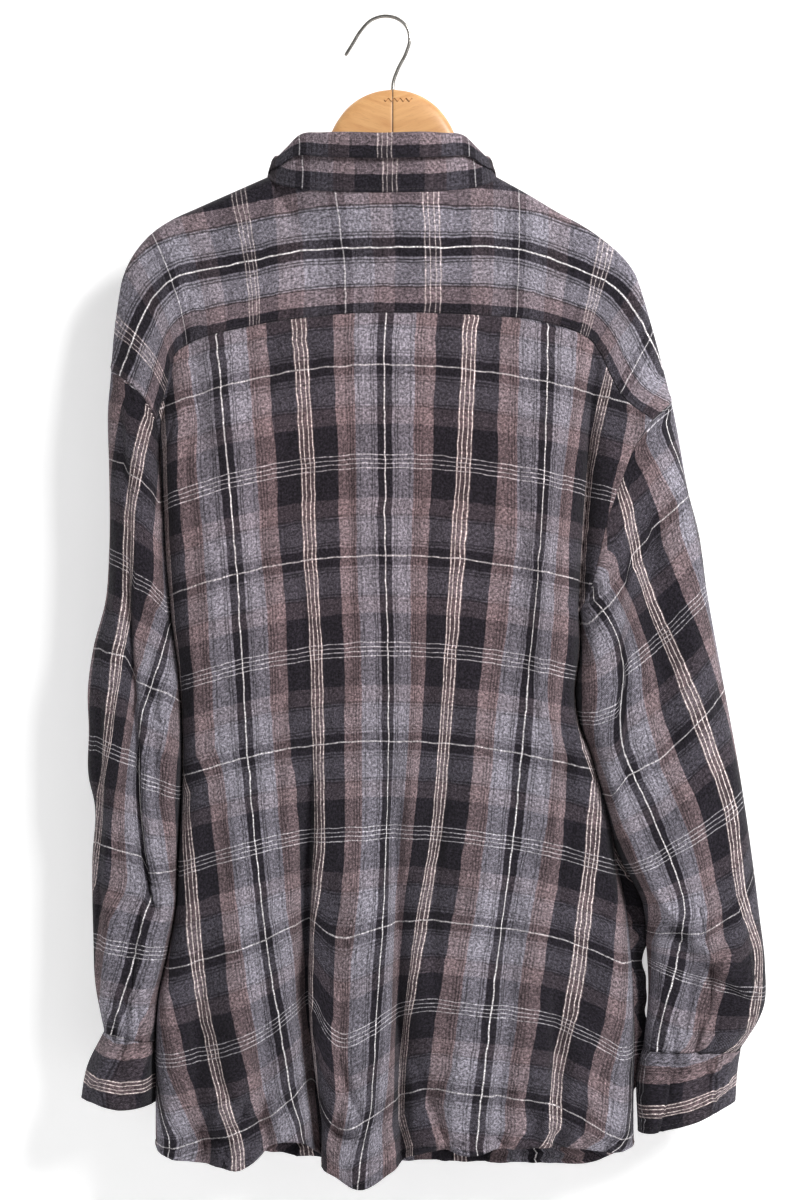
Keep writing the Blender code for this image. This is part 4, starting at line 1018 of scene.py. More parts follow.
def buildBack():
    corners, edges = [], []
    for side, seam in zip(sides, (yokeSeam, yokeSeam[::-1])):
        corner = nearest(seam, side["backCorner"]) if side["backCorner"] else 0
        corners.append(corner)
        edges.append(np.vstack([seam[corner:0:-1], side["backArm"], side["side"][1:]]))
    rows = max(len(edge) for edge in edges) - sideRows - 1
    left, right = [np.vstack([respaced(edge[: len(edge) - sideRows], rows), edge[-sideRows:]])
                   for edge in edges]
    columns = cells(spans["back"])
    top = respaced(yokeSeam[corners[0] : len(yokeSeam) - corners[1]], columns)
    hem = smoothLine(hemBack, columns)
    hem[[0, -1]] = left[-1], right[-1]
    grid = unevenHem(evened(lifted(patch(top, hem, left, right))), 71)
    across = placeWarp(grid, backWarp)
    down = smoothed(centreWeft(grid[..., 0], grid[..., 2]), 6)
    grid[-sideRows - 1 :, [0, -1], 1] = cloth["sideSeam"]
    grid = drawnBack(grid, ["top", "left", "right"], cloth["seamGap"] / 2)
    seams = {"top": "yoke", "left": "side", "right": "side", "bottom": "hem"}
    return raised(grid, 1, seamRelief(grid, seams, 73)), across, down


def unevenHem(grid, seed):
    # the hem waves up and down and in and out between its stitches, and is crumpled above them
    away, run = fromSide(grid, "bottom")
    reach = hemWave["reach"]
    crumple = softNoise(run + 0.6 * away, away, (13, 22), seed + 2)
    crease = softNoise(run - 0.8 * away + 300, away, (17, 26), seed + 3)
    crumple -= 1.2 * bump(crease, 0.17)
    crumple *= bump(away - hemWave["crumpleAt"], reach)
    crumple *= smoothStep(nearestGap(bodyEdges, grid[..., 0], grid[..., 2]) / 14)
    grid[..., 1] += hemWave["crumple"] * crumple
    share = np.exp(-away / reach) * smoothStep(np.minimum(run, run.max() - run) / 20)
    grid[..., 2] += hemWave["rise"] * softNoise(run, run * 0, (27, 9), seed) * share
    grid[..., 1] += hemWave["swing"] * softNoise(run, run * 0, (19, 9), seed + 1) * share
    return grid


def buildFront(side, centreX):
    steps = cells(spans["frontNeck"])
    neckX = np.linspace(side["frontSeam"][-1][0], centreX, steps + 1)[1:]
    neck = np.stack([neckX, neckEdge(neckX, True)[0]], axis=1)
    corner = nearest(side["frontSeam"], side["frontCorner"])
    top = respaced(np.vstack([side["frontSeam"][corner:], neck]), cells(spans["frontTop"]))
    upper = np.vstack([side["frontSeam"][corner:0:-1], side["frontArm"]])
    upper = respaced(upper, cells(lengths(upper)[-1]))
    edge = np.vstack([upper, side["side"][1:]])
    hemX = np.linspace(edge[-1][0], centreX, len(top))
    hem = np.stack([hemX, readTable(hemFront, hemX)[:, 0]], axis=1)
    hem[0] = edge[-1]
    centre = np.linspace(neck[-1], hem[-1], len(edge))
    grid = lifted(patch(top, hem, edge, centre), True)
    if side["turned"]:
        share = smoothStep((grid[..., 0] - placket["from"]) / placket["over"])
        grid[..., 1] += placket["step"] * share
        out = readTable(sideBulge, grid[..., 2])[..., 0] * bulge["gain"]
        turn = np.clip(fromSide(grid, "left")[0] / bulge["width"], 0, 1)
        grid[..., 0] -= out * np.sin(pi * turn)
    grid = unevenHem(evened(grid), 81)
    facing = 1 if side["turned"] else -1
    across = -(grid[:, -1:, 0] - facing * fromSide(grid, "right")[0])
    down = centreWeft(grid[..., 0], grid[..., 2])
    grid[-sideRows - 1 :, 0, 1] = -cloth["sideSeam"]
    grid = drawnBack(grid, ["top", "left"], cloth["seamGap"] / 2)
    seams = {"top": "yoke", "left": "side", "bottom": "hem"}
    return raised(grid, facing, seamRelief(grid, seams, 83)), across, down


def buildSleeve(side):
    # the back half and the front half, from the armhole to the cuff
    head = cells(side["head"])
    outerLine = smoothLine(side["outline"], 900)
    below = outerLine[:, 1] < side["armhole"][0][1] - 1
    rows = head + cells(spans["sleeve"])
    outer = respaced(np.vstack([[side["armhole"][0]], outerLine[below]]), rows)
    inner = respaced(smoothLine(side["inner"], 500), rows - head)
    gap = cloth["seamGap"] / 2
    halves = []
    for front in (False, True):
        seam = np.vstack([side["frontFlap" if front else "backYoke"],
                          side["frontArm" if front else "backArm"][1:]])
        fine = respaced(seam, 900)
        run = lengths(fine)
        split = np.searchsorted(run, run[-1] - side["head"])
        top = respaced(fine[: split + 1], cells(spans["sleeveHead"]))
        edge = np.vstack([respaced(fine[split:], head)[:-1], inner])
        end = respaced(np.array([outer[-1], inner[-1]]), len(top) - 1)
        flat = patch(top, end, outer, edge)
        x, z = flat[..., 0], flat[..., 1]
        # body folds near the seam pass into sleeve folds
        seamGap = distanceTo(respaced(seam, 120), x, z)[0]
        share = smoothStep(seamGap / shape["sleeveBlend"])[..., None]
        grid = lifted(flat, front) * (1 - share) + lifted(flat, front, True) * share
        closed = readTable(foldClosed, z)[..., 0]
        closed = closed * (1 - quarterRound(nearestGap(bodyEdges, x, z), 24))
        away = closed * (1 - smoothStep(seamGap / 25)) * (inner[0, 0] - seam[-1, 0])
        grid[:head, :, 0] += away[:head]
        grid[head:, -1, 1] = 0
        grid[:, 0, 1] = 0
        halves.append(evened(grid))
    back, front = halves
    front[:, 0] = back[:, 0]
    front[head:, -1] = back[head:, -1]
    across = placeWarp(back, side["warp"])
    down = placeWeft(back, side["weft"])
    frontAcross = across[:, :1] - fromSide(front, "left")[0]
    frontDown = np.repeat(down[:, :1], front.shape[1], axis=1)
    made = []
    for k, (grid, *place) in enumerate(((back, across, down), (front, frontAcross, frontDown))):
        turned = bool(k) != side["turned"]
        grid = drawnBack(grid, ["top", "bottom"], gap)
        grid[: head + 1] = drawnBack(grid[: head + 1], ["right"], gap)
        relief = seamRelief(grid, {"top": "armhole", "bottom": "cuff"}, 91 + k)
        relief *= smoothStep(fromSide(grid, "left")[0] / 8)
        relief *= smoothStep(fromSide(grid, "right")[0] / 8)
        made.append((raised(grid, -1 if turned else 1, relief), *place, turned))
    made[1][0][:, 0] = made[0][0][:, 0]
    made[1][0][head:, -1] = made[0][0][head:, -1]
    return made


def buildPlacket(panel):
    # the buttonhole band, from the left front's own points moved out
    grid, across, down = panel
    width = placket["width"]
    x = collar["centre"][0] + width * np.linspace(0.5, -0.5, cells(width * 1.5) + 1)
    rows = []
    for row, a, d in zip(grid, across, down):
        order = np.argsort(row[:, 0])
        fields = np.column_stack([row, a, d])[order]
        rows.append(readColumns(x, fields[:, 0], fields))
    rows = np.array(rows)
    made = rows[..., :3] + cloth["bandStep"] * normals(rows[..., :3], -1)
    relief = seamRelief(made, {"left": "band", "right": "band", "bottom": "hem"}, 101)
    return raised(made, -1, relief), rows[..., 3], rows[..., 4]


def buildSleevePlacket(side, sleeve):
    # a band on the back of the sleeve above the cuff
    grid, across, down, turned = sleeve[0]
    facing = -1 if side["turned"] else 1
    count = grid.shape[1] - 1
    columns = slice(round(side["placket"][0] * count), round(side["placket"][1] * count) + 1)
    rows = slice(len(grid) - cells(spans["sleevePlacket"]), None)
    moved = grid + cloth["bandStep"] * normals(grid, facing)
    made = drawnBack(moved[rows, columns], ["bottom"], cloth["seamGap"])
    relief = seamRelief(made, {"left": "band", "right": "band", "top": "band"}, 111)
    return raised(made, facing, relief), across[rows, columns], down[rows, columns], turned


def buildCuff(side, sleeve):
    rows = cells(spans["cuff"])
    outer = respaced(smoothLine(side["cuffOuter"], 40), rows)
    inner = respaced(smoothLine(side["cuffInner"], 40), rows)
    count = sleeve[0][0].shape[1]
    halves = []
    for front in (False, True):
        top, bottom = [respaced(np.array([outer[k], inner[k]]), count - 1) for k in (0, -1)]
        bottom[:, 1] -= cuffBow * np.sin(np.linspace(0, pi, count)) ** 2
        grid = lifted(patch(top, bottom, outer, inner), front, True)
        grid[:, [0, -1], 1] = 0
        grid = np.array([respaced(row, count - 1) for row in grid])
        run = fromSide(grid, "left")[0]
        z = grid[..., 2]
        wave = sum(height * softNoise(run + slant * z, z + 1200, size, seed + front)
                   for height, size, slant, seed in cuffWaves)
        relief = seamRelief(grid, {"top": "cuff", "bottom": "band"}, 123) + wave
        relief *= smoothStep(run / 8) * smoothStep(fromSide(grid, "right")[0] / 8)
        grid = raised(grid, 1 if front == side["turned"] else -1, relief)
        halves.append(drawnBack(grid, ["top"], cloth["seamGap"]))
    halves[1][:, [0, -1]] = halves[0][:, [0, -1]]
    made = []
    for front, grid in enumerate(halves):
        across = cuffWeave["bottom"] - cuffWeave["stretch"] * fromSide(grid, "bottom")[0]
        down = cuffWeave["alongStretch"] * fromSide(grid, "left")[0] + cuffWeave["along"]
        made.append((grid, across, down, bool(front) != side["turned"]))
    return made


def collarPoint(angle, out, height):
    # a point at an angle from the centre back, so far outside the neck seam and above it
    wound = abs(angle)
    low = readTable(neckTable, min(wound, 360 - wound))[0]
    out += collar["wrap"] * angle / 180
    return np.array([
        collar["centre"][0] + (collar["halfWidth"] + out) * sin(radians(angle)),
        collar["centre"][1] + (collar["halfDepth"] + out) * cos(radians(angle)),
        low + height,
    ])


def buildCollar():
    reach = 180 + collar["overlap"]
    share = collar["standShare"]
    roll = collar["roll"]
    columns = cells(spans["collar"])
    heights = cells(spans["stand"])
    stand = []
    for angle in np.linspace(reach, -reach, columns + 1):
        high, lean = readTable(neckTable, min(abs(angle), 360 - abs(angle)))[1:3]
        top = share * high
        foot = collar["foot"] + collar["shoulderLift"] * np.exp(-(((abs(angle) - 95) / 32) ** 2))
        column = []
        for height in np.linspace(top - 0.3, foot, heights + 1):
            out = collar["flare"] * smoothStep((3 - height) / 3)
            column.append(collarPoint(angle, out - lean * share * max(height, 0) / top, height))
        stand.append(column)
    leaf = []
    for angle in np.linspace(collar["leafEnd"], -collar["leafEnd"], columns + 1):
        high, lean, fall, away = readTable(neckTable, abs(angle))[1:]
        # up from the stand, over the roll and down to the leaf's edge
        section = [
            (-lean * share, share * high + 0.4),
            (-lean, high - roll * 0.6),
            (-lean + roll * 0.45, high),
            (-lean + roll, high - roll * 0.6),
            (-lean + roll + away * 0.5, high - fall * 0.55),
            (-lean + roll + away, high - fall),
        ]
        section = smoothLine(section, cells(spans["leaf"]))
        leaf.append([collarPoint(angle, out, height) for out, height in section])
    stand = np.array(stand).transpose(1, 0, 2)
    leaf = np.array(leaf).transpose(1, 0, 2)
    made = []
    # the places on the cloth of the lower edge and of the centre back
    for grid, facing, seed, edge, middleAt in ((stand, 1, 131, 99, 73.5), (leaf, -1, 141, 104, 78)):
        run = fromSide(grid, "left")[0]
        middle = run[:, run.shape[1] // 2][:, None]
        away = fromSide(grid, "bottom")[0]
        wave = 0.5 * softNoise(run, away, (34, 22), seed) * smoothStep(away / 4)
        relief = seamRelief(grid, {"bottom": "band"}, seed) + wave
        made.append((raised(grid, facing, relief), middleAt + run - middle, edge + away))
    return made


def addMesh(name, points, faces, style, nodes=(), smooth=True):
    mesh = bpy.data.meshes.new(name)
    mesh.from_pydata([tuple(mm * p for p in point) for point in points], [], faces)
    if smooth:
        mesh.shade_smooth()
    mesh.materials.append(style)
    made = addObject(name, mesh)
    settle(made, nodes)
    return made


def ringFaces(rings, count, flipped):
    # faces between neighbouring rings of points
    faces = []
    for a in range(0, (rings - 1) * count, count):
        b = a + count
        for i in range(count):
            k = (i + 1) % count
            faces.append((a + i, b + i, b + k, a + k) if flipped
                         else (a + i, a + k, b + k, b + i))
    return faces


def addStitches(name, lines, style, lift):
    # a row of raised stitches along each line of points with its directions
    points, faces = [], []
    for line, facing in lines:
        run = lengths(line)
        count = int(run[-1] / thread["pitch"])
        at = (np.arange(count) + 0.5) * thread["pitch"]
        centres, ahead = [readColumns(at + step, run, line) for step in (0, 0.5)]
        outs = readColumns(at, run, facing)
        for centre, out, step in zip(centres, outs, ahead - centres):
            out = out / np.linalg.norm(out)
            along = step / np.linalg.norm(step) * thread["length"] / 2
            aside = np.cross(out, along)
            aside *= thread["width"] / 2 / np.linalg.norm(aside)
            first = len(points)
            base = centre + out * lift
            points += [base - along, base - aside, base + along, base + aside,
                       base + out * thread["height"], base - out * thread["height"]]
            for a, b in ((0, 1), (1, 2), (2, 3), (3, 0)):
                faces += [(first + a, first + b, first + 4), (first + b, first + a, first + 5)]
    return addMesh(name, points, faces, style, smooth=False)


def sew(name, rows, lift):
    # stitches along a piece; each row has its grid, which way it faces, the side sewn, how far
    # in and the stretch of the side
    lines = [alongEdge(*row) for row in rows]
    made = addStitches(name.replace("_cloth", "_stitches"), lines, threadStyle, stitchLift[lift])
    sheets[name]["sewn"].append(made)


def addButton(name, style):
    # a four-hole button with a raised rim, lying where its CAD node is, with its thread; each hole
    # is a near-black disc of painted shade
    low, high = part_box(name)
    centre = np.array((low + high) / 2) / mm
    centre[1] = high[1] / mm
    radius, thick = buttons["size"] / 2, buttons["thickness"]
    count = 28
    points = [centre + (radius * share * cos(turn), -thick * height, radius * share * sin(turn))
              for share, height in buttonRings
              for turn in np.linspace(0, 2 * pi, count, endpoint=False)]
    faces = ringFaces(len(buttonRings), count, True)
    addMesh(name + "_round", points, faces, style, [name])
    # each hole is a near-black disc just above the dish: painted shade in place of the open hole
    points, faces = [], []
    count = 10
    out, hole = buttons["holeOut"], buttons["hole"]
    for turn in (pi / 4, 3 * pi / 4, 5 * pi / 4, 7 * pi / 4):
        middle = centre + (out * cos(turn), -thick * 0.74, out * sin(turn))
        first = len(points)
        for i in range(count):
            a = 2 * pi * i / count
            points.append(middle + (hole * cos(a), 0, hole * sin(a)))
        points.append(middle + (0, -0.15, 0))
        faces += [(first + i, first + (i + 1) % count, first + count) for i in range(count)]
    addMesh(name + "_hole_shade", points, faces, holeShadeStyle, smooth=False)
    lines = []
    reach = buttons["threadOut"]
    for up in (1, -1):
        ends = [centre + (x * reach, -thick * 0.78, up * x * reach) for x in (-1, 1)]
        lines.append((np.linspace(*ends, 8), np.tile((0, -1.0, 0), (8, 1))))
    addStitches(name + "_thread", lines, threadStyle, 0)


def hangerSections(side, sign):
    # sections of one half from the joint to the tip: x, top z, bottom z and half thickness
    block = np.array([(hanger["joint"] + sign * out, top, top - tall, half)
                      for out, top, tall, half in hangerBlock])
    x = np.linspace(hanger["armFrom"], hangerArm[-1][0], 12)
    ridge = side["ridge"][np.argsort(sign * side["ridge"][:, 0])]
    top = np.interp(x, sign * ridge[:, 0], ridge[:, 1]) - hanger["clearance"]
    tall, half = readTable(hangerArm, x).T
    arm = np.stack([sign * x, top, top - tall, half], axis=1)
    return smoothLine(np.vstack([block, arm]), 90)


def addHangerHalf(name, side, sign):
    count = 36
    turns = np.linspace(0, 2 * pi, count, endpoint=False) + pi / count
    sections = hangerSections(side, sign)
    sections = np.vstack([sections[:1], sections[:1], sections])
    square = hanger["squareness"]
    bevel = [(0, 0.86), (0.25, 0.95), (0.9, 1)]  # distance from the joint, size
    points = []
    for k, (x, top, bottom, half) in enumerate(sections):
        out, size = bevel[k] if k < len(bevel) else (0, 1)
        x += sign * out
        edge = hanger["bevel"] * (1 - size) / (1 - bevel[0][1])
        tall = (top - bottom) / 2 - edge * 0.5
        for turn in turns:
            across = abs(cos(turn)) ** square * np.sign(cos(turn))
            up = abs(sin(turn)) ** square * np.sign(sin(turn))
            points.append((x, (half - edge * 0.5) * across, (top + bottom) / 2 + tall * up))
    faces = ringFaces(len(sections), count, sign < 0)
    last = (len(sections) - 1) * count
    faces.append(tuple(range(count))[::-sign])
    faces.append(tuple(range(last, last + count))[::sign])
    addMesh(name + "_turned", points, faces, woodStyle, [name])


def addHook(style):
    line = smoothLine(hookLine, 160)
    curve = bpy.data.curves.new("hook_wire", "CURVE")
    curve.dimensions = "3D"
    curve.bevel_depth = hookWire / 2 * mm
    curve.bevel_resolution = 6
    curve.use_fill_caps = True
    spline = curve.splines.new("POLY")
    spline.points.add(len(line) - 1)
    for i, (point, (x, z)) in enumerate(zip(spline.points, line)):
        point.co = (mm * x, 0, mm * z, 1)
        point.radius = 1 if i < len(line) - 2 else 0.8
    curve.materials.append(style)
    settle(addObject("hook_wire", curve), ["hanger_hook"])


def addFastener(name, z, style):
    # a corrugated steel strip driven across the joint, its edge just proud of the wood
    x = np.linspace(*hanger["fastener"], 60)
    high, long = hanger["wave"]
    square = hanger["squareness"]
    top, tall, thick = hangerBlock[0][1:]
    points, faces = [], []
    for at, rise in zip(x, high * np.sin((x - x[0]) / long * 2 * pi)):
        up = min(0.97, abs(z + rise - (top - tall / 2)) / (tall / 2))
        y = thick * (1 - up ** (2 / square)) ** (square / 2)
        for dz, out in ((-0.45, -0.6), (-0.45, 0.2), (0.45, 0.2), (0.45, -0.6)):
            points.append((at, y + out, z + rise + dz))
    for first in range(0, 4 * (len(x) - 1), 4):
        faces += [(a, a + 4, a + 5, a + 1) for a in range(first, first + 3)]
    addMesh(name, points, faces, style, smooth=False)


def fill(tree, made, values):
    # sockets are linked to a node's inputs, and other values are set on them
    for place, value in dict(values).items():
        if isinstance(value, bpy.types.NodeSocket):
            tree.links.new(value, made.inputs[place])
        else:
            made.inputs[place].default_value = value


def node(tree, kind, values=(), **settings):
    made = tree.nodes.new("ShaderNode" + kind)
    for name, value in settings.items():
        setattr(made, name, value)
    fill(tree, made, values)
    return made


def calc(tree, operation, *values):
    return node(tree, "Math", enumerate(values), operation=operation).outputs[0]


def mapped(tree, value, low, high, toLow=0.0, toHigh=1.0, **settings):
    # a value between low and high, brought to another range
    values = enumerate((value, low, high, toLow, toHigh))
    return node(tree, "MapRange", values, **settings).outputs[0]


def noise(tree, at, scale, detail, **more):
    values = {"Vector": at, "Scale": scale, "Detail": detail, **more}
    return node(tree, "TexNoise", values).outputs["Fac"]


def objectPlace(tree):
    return node(tree, "TexCoord").outputs["Object"]


def linear(colour):
    # a colour given from 0 to 255 as a screen shows it
    share = np.array(colour) / 255
    return (*np.where(share <= 0.04045, share / 12.92, ((share + 0.055) / 1.055) ** 2.4), 1)


def ramp(tree, at, bands, length, soft=0.25):
    # bands of colour along a length, with soft changes between them
    made = node(tree, "ValToRGB", {"Fac": calc(tree, "DIVIDE", at, length)})
    stops = made.color_ramp.elements
    stops.remove(stops[1])
    for start, end, colour in bands:
        for place in (start + soft if start > 0 else 0, end - soft if end < length else length):
            stop = stops[0] if start == 0 and place == 0 else stops.new(place / length)
            stop.position = place / length
            stop.color = (*(c / 255 for c in plaid[colour]), 1)
    return made.outputs[0]


def startMaterial(name):
    made = bpy.data.materials.new(name)
    made.use_nodes = True
    tree = made.node_tree
    return made, tree, tree.nodes["Principled BSDF"]


def mixColour(tree, share, first, second, blend="MIX"):
    made = node(tree, "Mix", {0: share, 6: first, 7: second}, data_type="RGBA", blend_type=blend)
    return made.outputs[2]


def darkened(tree, colour, level):
    # a colour times a grey level
    tone = node(tree, "CombineColor", enumerate((level, level, level))).outputs[0]
    return mixColour(tree, 1.0, colour, tone, "MULTIPLY")


def lineFactor(tree, at, lines):
    # 1 away from every thin line, less on one
    half, soft = nap["thin"]
    factor = None
    for place, strength in lines:
        off = calc(tree, "ABSOLUTE", calc(tree, "SUBTRACT", at, place))
        near = mapped(tree, off, half, half + soft, 1 - strength, interpolation_type="SMOOTHSTEP")
        factor = near if factor is None else calc(tree, "MULTIPLY", factor, near)
    return factor


def threads(tree, at, along, half, bands, lines):
    # one set of threads: its colour, and 1 where its thread is a light one
    place = calc(tree, "PINGPONG", at, half)
    colour = ramp(tree, place, bands, half)
    red = node(tree, "SeparateColor", {0: colour}).outputs[0]
    # yarns are a little darker and lighter from one to the next, and along their length
    across, down = [calc(tree, "MULTIPLY", value, scale)
                    for value, scale in zip((at, along), nap["yarn"])]
    yarn = noise(tree, node(tree, "CombineXYZ", {0: across, 1: down}).outputs[0], 1.0, 2.0)
    yarn = mapped(tree, yarn, 0.3, 0.7, *nap["yarnTones"])
    level = calc(tree, "MULTIPLY", lineFactor(tree, place, lines), yarn)
    return darkened(tree, colour, level), mapped(tree, red, 0.58, 0.76)


def flannelMaterial(name, warpShare):
    made, tree, shader = startMaterial(name)
    uv = node(tree, "UVMap", uv_map="cloth").outputs[0]
    split = node(tree, "SeparateXYZ", {0: uv}).outputs
    wobble = node(tree, "TexNoise", {"Vector": uv, "Scale": 0.05, "Detail": 2.0})
    bent = node(tree, "SeparateXYZ", {0: wobble.outputs["Color"]}).outputs
    far = nap["wander"]
    s, t = [calc(tree, "ADD", split[k], calc(tree, "MULTIPLY_ADD", bent[k], far, -far / 2))
            for k in (0, 1)]
    warp, lightWarp = threads(tree, s, t, plaid["warpHalf"], warpBands, warpLines)
    weft, lightWeft = threads(tree, t, s, plaid["weftHalf"], weftBands, weftLines)
    # twill of threads over and under, drawn out by the nap
    fray = calc(tree, "MULTIPLY", noise(tree, uv, 0.8, 3.0), nap["fray"])
    diagonal = calc(tree, "ADD", calc(tree, "ADD", s, t), fray)
    twill = calc(tree, "SINE", calc(tree, "MULTIPLY", diagonal, 2 * pi / plaid["twill"]))
    over = calc(tree, "MULTIPLY_ADD", twill, nap["twillTones"], 1 - warpShare)
    over = calc(tree, "MULTIPLY_ADD", lightWeft, plaid["thick"], over)
    over = calc(tree, "MULTIPLY_ADD", lightWarp, -plaid["thick"], over)
    colour = mixColour(tree, over, warp, weft)
    # heathered fibres and worn patches
    heather = noise(tree, uv, nap["heather"], 5.0, Roughness=0.85)
    spots = mapped(tree, heather, 0.25, 0.75, *nap["heatherTones"])
    worn = mapped(tree, noise(tree, uv, nap["wear"], 4.0), 0.3, 0.7, *nap["wearTones"])
    colour = darkened(tree, colour, calc(tree, "MULTIPLY", spots, worn))
    # the upper back has kept more of its brown
    values = {0: objectPlace(tree), 1: plaid["brownAt"]}
    off = node(tree, "VectorMath", values, operation="DISTANCE").outputs["Value"]
    share = mapped(tree, off, *nap["keptReach"], 1.0, 0.0)
    kept = node(tree, "CombineColor", enumerate(nap["keptTint"])).outputs[0]
    kept = mixColour(tree, 1.0, colour, kept, "MULTIPLY")
    colour = mixColour(tree, share, colour, kept)
    # the bands are given as a screen shows them
    colour = node(tree, "Gamma", {"Color": colour, "Gamma": 2.2}).outputs[0]
    twillRise, heatherRise, crinkleRise = nap["rises"]
    rise = calc(tree, "MULTIPLY", heather, heatherRise)
    rise = calc(tree, "MULTIPLY_ADD", twill, twillRise, rise)
    crinkle = noise(tree, uv, nap["crinkle"], 3.0, Distortion=0.7)
    rise = calc(tree, "MULTIPLY_ADD", crinkle, crinkleRise, rise)
    strength, distance = nap["bump"]
    values = {"Strength": strength, "Distance": distance, "Height": rise}
    fill(tree, shader, {
        "Base Color": colour, "Roughness": 0.95, "Specular IOR Level": 0.12,
        "Sheen Weight": 0.06, "Sheen Roughness": 0.6,
        "Normal": node(tree, "Bump", values).outputs[0],
    })
    return made


def threadMaterial():
    made, tree, shader = startMaterial("Sewing thread")
    share = noise(tree, objectPlace(tree), 900.0, 2.0)
    colour = mixColour(tree, share, *[linear(tone) for tone in threadColours])
    fill(tree, shader, {"Base Color": colour, "Roughness": 0.7})
    return made


def woodMaterial():
    made, tree, shader = startMaterial("Lacquered beech")
    place = node(tree, "SeparateXYZ", {0: objectPlace(tree)}).outputs
    joint = hanger["joint"] * mm
    # the two halves are sawn at different slants
    side = calc(tree, "GREATER_THAN", place[0], joint)
    slant = calc(tree, "MULTIPLY_ADD", side, 2 * wood["slant"], -wood["slant"])
    along = calc(tree, "MULTIPLY_ADD", place[2], slant, place[0])
    level = calc(tree, "MULTIPLY_ADD", place[0], calc(tree, "MULTIPLY", slant, -1.0), place[2])
    places = []
    for scales in (wood["grain"], wood["flecks"]):
        stretched = [calc(tree, "MULTIPLY", value, scale)
                     for value, scale in zip((along, place[1], level), scales)]
        places.append(node(tree, "CombineXYZ", enumerate(stretched)).outputs[0])
    broad = noise(tree, places[0], 1.0, 5.0, Distortion=0.6)
    flecks = noise(tree, places[1], 1.0, 3.0)
    share = mapped(tree, broad, 0.3, 0.7)
    colour = mixColour(tree, share, linear(wood["light"]), linear(wood["dark"]))
    dots = mapped(tree, flecks, 0.55, 0.75, 0.0, 0.35)
    colour = mixColour(tree, dots, colour, linear(wood["fleck"]))
    # the glued joint is a dark line
    off = calc(tree, "ABSOLUTE", calc(tree, "SUBTRACT", place[0], joint))
    colour = darkened(tree, colour, mapped(tree, off, *wood["glue"], 0.2))
    values = {"Strength": 0.12, "Distance": 0.0003, "Height": flecks}
    fill(tree, shader, {
        "Base Color": colour, "Roughness": 0.42, "Coat Weight": 0.25, "Coat Roughness": 0.25,
        "Normal": node(tree, "Bump", values).outputs[0],
    })
    return made


def metalMaterial(name, colour, roughness):
    made, tree, shader = startMaterial(name)
    share = noise(tree, objectPlace(tree), 260.0, 4.0)
    tone = mixColour(tree, share, linear(colour), linear([0.8 * c for c in colour]))
    rough = mapped(tree, share, 0.3, 0.7, roughness - 0.06, roughness + 0.1)
    fill(tree, shader, {"Base Color": tone, "Roughness": rough, "Metallic": 1.0})
    return made


def buttonMaterial(name, light, dark):
    made, tree, shader = startMaterial(name)
    clouds = noise(tree, objectPlace(tree), 320.0, 4.0, Distortion=1.2)
    colour = mixColour(tree, clouds, linear(light), linear(dark))
    fill(tree, shader, {"Base Color": colour, "Roughness": 0.3, "Coat Weight": 0.3})
    return made


yokeTop, yokeSeam, yokeKeys = settleSides()
flannel = flannelMaterial("Brushed plaid flannel", plaid["warpShare"])
reverse = flannelMaterial("Reverse of the flannel", plaid["reverseShare"])
threadStyle = threadMaterial()
woodStyle = woodMaterial()
wireStyle = metalMaterial("Nickel-plated wire", **metals["wire"])
steelStyle = metalMaterial("Steel strip", **metals["steel"])
buttonStyle = buttonMaterial("Dark horn button", **horn)
# painted shade for the button holes
holeShadeStyle = buttonMaterial("Button hole", **holeShade)
print("materials made")

yokeGrids = buildYoke()
addCloth("yoke_cloth", yokeGrids, reverse, ["yoke"])
print("yoke made")

back = buildBack()
addCloth("back_cloth", [(*back, False)], flannel, ["back_panel"])
print("back panel made")

leftFront, rightFront = [
    buildFront(side, collar["centre"][0] + sign * placket["width"] / 2)
    for side, sign in zip(sides, (-1, 1))
]
addCloth("front_left_cloth", [(*leftFront, True)], flannel, ["front_left"])
addCloth("front_right_cloth", [(*rightFront, False)], flannel, ["front_right"])
placketBand = buildPlacket(leftFront)
addCloth("front_placket_cloth", [(*placketBand, True)], flannel, ["front_placket"],
         cloth["bandThickness"])
print("fronts made")

walls = {"sleeve": "thickness", "sleeve_placket": "bandThickness", "cuff": "cuffThickness"}
for side in sides:
    side["sleeve"] = buildSleeve(side)
    side["sleeve_placket"] = [buildSleevePlacket(side, side["sleeve"])]
    side["cuff"] = buildCuff(side, side["sleeve"])
    for piece, wall in walls.items():
        name = piece + "_" + side["name"]
        addCloth(name + "_cloth", side[piece], flannel, [name], cloth[wall])
print("sleeves and cuffs made")

stand, leaf = buildCollar()
for name, piece, turned in (("collar_stand", stand, False), ("collar_leaf", leaf, True)):
    addCloth(name + "_cloth", [(*piece, turned)], reverse, [name], cloth["collarThickness"])
print("collar made")

whole = (0, 1)
rows = [(yokeGrids[0][0], 1, "bottom", stitchIn["yoke"], whole)]
for side, sheet in zip(sides, yokeGrids[1:]):
    rows.append((sheet[0], 1 if side["turned"] else -1, "bottom", stitchIn["yoke"], whole))
sew("yoke_cloth", rows, "panel")
hem = stitchIn["hem"]
sew("back_cloth", [(back[0], 1, "bottom", hem, whole)], "panel")
sew("front_left_cloth", [(leftFront[0], -1, "bottom", hem, (0, 0.9))], "panel")
sew("front_right_cloth", [(rightFront[0], 1, "bottom", hem, whole)], "panel")
edge = stitchIn["band"]
rows = [(placketBand[0], -1, where, edge, whole) for where in ("left", "right")]
sew("front_placket_cloth", rows, "band")
for side in sides:
    facings = (-1, 1) if side["turned"] else (1, -1)
    rows = [(sheet[0], facing, where, edge, (0.04, 0.96))
            for sheet, facing in zip(side["cuff"], facings) for where in ("top", "bottom")]
    sew(f"cuff_{side['name']}_cloth", rows, "cuff")
    rows = [(side["sleeve_placket"][0][0], facings[0], where, stitchIn["sleeveBand"], (0.02, 0.96))
            for where in ("left", "right")]
    sew(f"sleeve_placket_{side['name']}_cloth", rows, "band")
